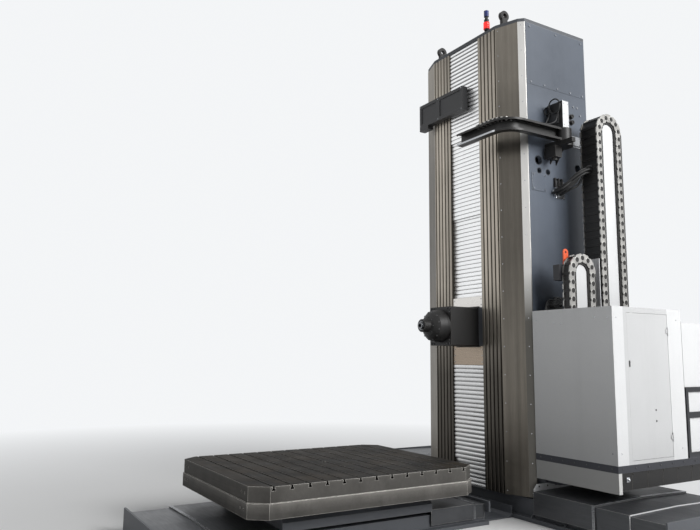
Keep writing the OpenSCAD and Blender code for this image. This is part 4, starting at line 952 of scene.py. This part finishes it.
def platform_details():
    """The platform's edge bolts and valance, the grease fitting, and the cabinet's louvres."""
    bolts = Shape()
    for y in steps(platform_lo.y + 0.1, platform_hi.y - 0.1, 12):
        bolts.bolt((platform_hi.x, y, FLOOR_BOLTS_Z), PLUS_X, 0.010, 0.008)
    for x in steps(platform_lo.x + 0.1, platform_hi.x - 0.1, 7):
        bolts.bolt((x, platform_lo.y, FLOOR_BOLTS_Z), FRONT, 0.010, 0.008)
    bolts.place("platform_edge_bolts", "box_grey", "column", smooth=False)

    face = platform_hi.x - VALANCE_IN + VALANCE_T
    foot, top = VALANCE_Z
    valance = Shape().box((platform_hi.x - VALANCE_IN, platform_lo.y + 0.075, foot),
                          (face, platform_hi.y - 0.05, top), 0.002)
    for y in steps(platform_lo.y + 0.30, platform_hi.y - 0.20, 9):
        valance.box((face - 0.002, y - 0.003, foot + 0.005), (face + 0.002, y + 0.003, top - 0.003), 0.001)
        valance.bolt((face, y + 0.03, 0.915), PLUS_X, 0.008)
    valance.place("platform_valance", "black_paint", "column", smooth=False)

    lo, hi = FITTING
    fitting = Shape().box(lo, hi, 0.004)
    fitting.turned((hi[0], (lo[1] + hi[1]) / 2, (lo[2] + hi[2]) / 2), PLUS_X, NIPPLE, sides=20)
    fitting.place("grease_fitting", "ground_steel", "column", smooth=False)

    louvres = Shape()
    lo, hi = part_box("rear_cabinet")
    x, y0, y1 = lo.x - 0.001, hi.y - 0.05, hi.y - 0.42
    for z in steps(hi.z - LOUVRES_FROM, hi.z - LOUVRES_TO, LOUVRES):
        louvres.beam((x, y0, z), (x, y1, z), Vector((LOUVRE_HALF_T, 0, 0)), Vector((0, 0, LOUVRE_HALF_H)))
    louvres.place("cabinet_louvres", "frame_grey", "column", smooth=False)


# Telescopic covers: each moving cover's body, and the axis that it moves along
MOVING_COVERS = (
    ("way_cover_right_middle", "way_right_middle", 0), ("way_cover_right_riding", "column", 0),
    ("way_cover_left_middle", "way_left_middle", 0), ("way_cover_left_riding", "column", 0),
    ("table_cover_front_riding", "table_saddle", 1), ("table_cover_back_riding", "table_saddle", 1))
ROOF_DROP = 0.020  # from the ridge to the eaves
FACE_WIPER = (0.002, 0.008)  # half its width and height
TOP_WIPER = (0.003, 0.003)
TOP_WIPERS, WIPER_PITCH = 3, 0.016
TOP_WIPER_SINK = 0.0005  # its foot lies this deep in the cover


def cover_lips():
    """Wiper strips at each moving cover's free end; a middle cover has one, on its end face."""
    for name, body, axis in MOVING_COVERS:
        lo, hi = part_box(name)
        on_face = name.endswith("middle")
        width, height = FACE_WIPER if on_face else TOP_WIPER
        ahead, sink = (width, height) if on_face else (-width, TOP_WIPER_SINK - height)
        out = abs(hi[axis]) > abs(lo[axis])
        across = 1 - axis
        left, right = lo[across] + sink, hi[across] - sink
        middle, eave = (lo[across] + hi[across]) / 2, hi.z - ROOF_DROP - sink
        outline = ((left, lo.z), (left, eave), (middle, hi.z - sink), (right, eave), (right, lo.z))
        wide = Vector((0, 0, 0))
        wide[axis] = width
        strip = Shape()
        for k in range(1 if on_face else TOP_WIPERS):
            end = hi[axis] + ahead - k * WIPER_PITCH if out else lo[axis] - ahead + k * WIPER_PITCH
            path = [Vector((end, c, z) if axis == 0 else (c, end, z)) for c, z in outline]
            for a, b in zip(path, path[1:]):
                strip.beam(a, b, wide, (b - a).normalized().cross(wide.normalized()) * height)
        strip.place(name + "_wiper", "white_paint" if on_face else "ground_steel", body, smooth=False)


FLANGE_T = 0.004  # a thicker one meets the middle covers at full travel
FLANGE_CUT, FLANGE_FRONT_H = 0.07, 0.035


def cover_flanges():
    """The flange that joins each riding cover to the saddle's side, with its front corner cut."""
    saddle_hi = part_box("column_saddle")[1]
    cover_lo, cover_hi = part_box("way_cover_right_riding")
    foot, top = cover_hi.z - ROOF_DROP - 0.002, platform_lo.z - 0.005
    y0, y1 = cover_lo.y + 0.005, saddle_hi.y - 0.03
    outline = ((y0, foot), (y0, foot + FLANGE_FRONT_H), (y0 + FLANGE_CUT, top), (y1, top), (y1, foot))
    flanges, bolts = Shape(), Shape()
    for s in (1, -1):
        x0, x1 = s * saddle_hi.x, s * (saddle_hi.x + FLANGE_T)
        flanges.prism(*([(x, *spot) for spot in outline] for x in (x0, x1)))
        for y in steps(y0 + 0.12, y1 - 0.10, 10):
            bolts.bolt((x1, y, foot + 0.07), (s, 0, 0), 0.012, 0.008)
    flanges.place("cover_flanges", "white_paint", "column", smooth=False)
    bolts.place("cover_flange_bolts", "box_grey", "column")


column_side()
chain_details()
spindle_details()
hose_fittings()
side_cables()
boom_carrier()
boom_cables()
boom_post()
boom_lip_highlight_strip()
boom_post_cover()
side_rail()
front_details()
wall_details()
platform_details()
cover_lips()
cover_flanges()


# Floor and light
FLOOR_SIZE, FLOOR_Z = 160.0, -0.002
FLOOR_COLOR = (0.80, 0.80, 0.795)
BACK_COLOR = (0.97, 0.985, 1.0)
BACK_SEEN = 0.93
FADE_FROM, FADE_TO = 3.5, 16.0  # the floor turns to the background's white
WORLD_LIGHT = 0.30
KEY = {"at": (17, 7, 12), "aim": (1, 3.5, 3.5), "size": (9, 9), "power": 3700}
FRONT_FILL = {"at": (-5, -16, 10), "aim": (0, 2, 3), "size": (9, 6), "power": 150}


def plain_floor():
    """A pale floor that keeps the shadow near the object and fades to the background's white."""
    n = Nodes("studio_floor")
    n.join(n.mix(n.span(n.noise(0.4), 0, 1), FLOOR_COLOR, shade(FLOOR_COLOR, 0.985)),
           n.shader.inputs["Base Color"])
    n.shader.inputs["Roughness"].default_value = 0.9
    far = n.add("ShaderNodeVectorMath", operation="LENGTH")
    n.join(n.add("ShaderNodeNewGeometry").outputs["Position"], far.inputs[0])
    fade = n.span(far.outputs["Value"], 0.0, 1.0, FADE_FROM, FADE_TO)
    path = n.add("ShaderNodeLightPath").outputs
    seen = n.math("MAXIMUM", path["Is Camera Ray"], path["Is Glossy Ray"])
    fade = n.math("MULTIPLY", fade, n.math("MAXIMUM", seen, path["Is Transmission Ray"]))
    glow = n.add("ShaderNodeEmission", Strength=BACK_SEEN)
    glow.inputs["Color"].default_value = (*BACK_COLOR, 1)
    blend = n.add("ShaderNodeMixShader")
    n.join(fade, blend.inputs[0])
    n.join(n.shader.outputs[0], blend.inputs[1])
    n.join(glow.outputs[0], blend.inputs[2])
    n.join(blend.outputs[0], n.tree.nodes["Material Output"].inputs["Surface"])
    mesh = bpy.data.meshes.new("floor")
    half = FLOOR_SIZE / 2
    corners = [(-half, -half, 0), (half, -half, 0), (half, half, 0), (-half, half, 0)]
    mesh.from_pydata(corners, [], [(0, 1, 2, 3)])
    mesh.materials.append(n.material)
    floor = bpy.data.objects.new("floor", mesh)
    floor.location.z = FLOOR_Z
    scene.collection.objects.link(floor)


def plain_world(strength, seen):
    """Soft light from all sides; the camera and reflections see a paler white."""
    world = bpy.data.worlds.new("studio")
    scene.world = world
    world.use_nodes = True
    tree = world.node_tree
    back = tree.nodes["Background"]
    path = tree.nodes.new("ShaderNodeLightPath")
    seen_by = path.outputs["Is Camera Ray"]
    for kind in ("Is Glossy Ray", "Is Transmission Ray"):
        most = tree.nodes.new("ShaderNodeMath")
        most.operation = "MAXIMUM"
        tree.links.new(seen_by, most.inputs[0])
        tree.links.new(path.outputs[kind], most.inputs[1])
        seen_by = most.outputs[0]
    level = tree.nodes.new("ShaderNodeMapRange")
    level.inputs["To Min"].default_value = strength
    level.inputs["To Max"].default_value = seen
    tree.links.new(seen_by, level.inputs["Value"])
    tree.links.new(level.outputs["Result"], back.inputs["Strength"])
    back.inputs["Color"].default_value = (*BACK_COLOR, 1)


def area_light(name, at, aim, size, power):
    """A rectangular lamp that shines from at towards aim."""
    light = bpy.data.lights.new(name, "AREA")
    light.shape = "RECTANGLE"
    light.size, light.size_y = size
    light.energy = power
    lamp = bpy.data.objects.new(name, light)
    lamp.location = at
    lamp.rotation_euler = (Vector(aim) - Vector(at)).to_track_quat("-Z", "Y").to_euler()
    scene.collection.objects.link(lamp)


plain_floor()
plain_world(WORLD_LIGHT, BACK_SEEN)
area_light("key", **KEY)
area_light("front", **FRONT_FILL)
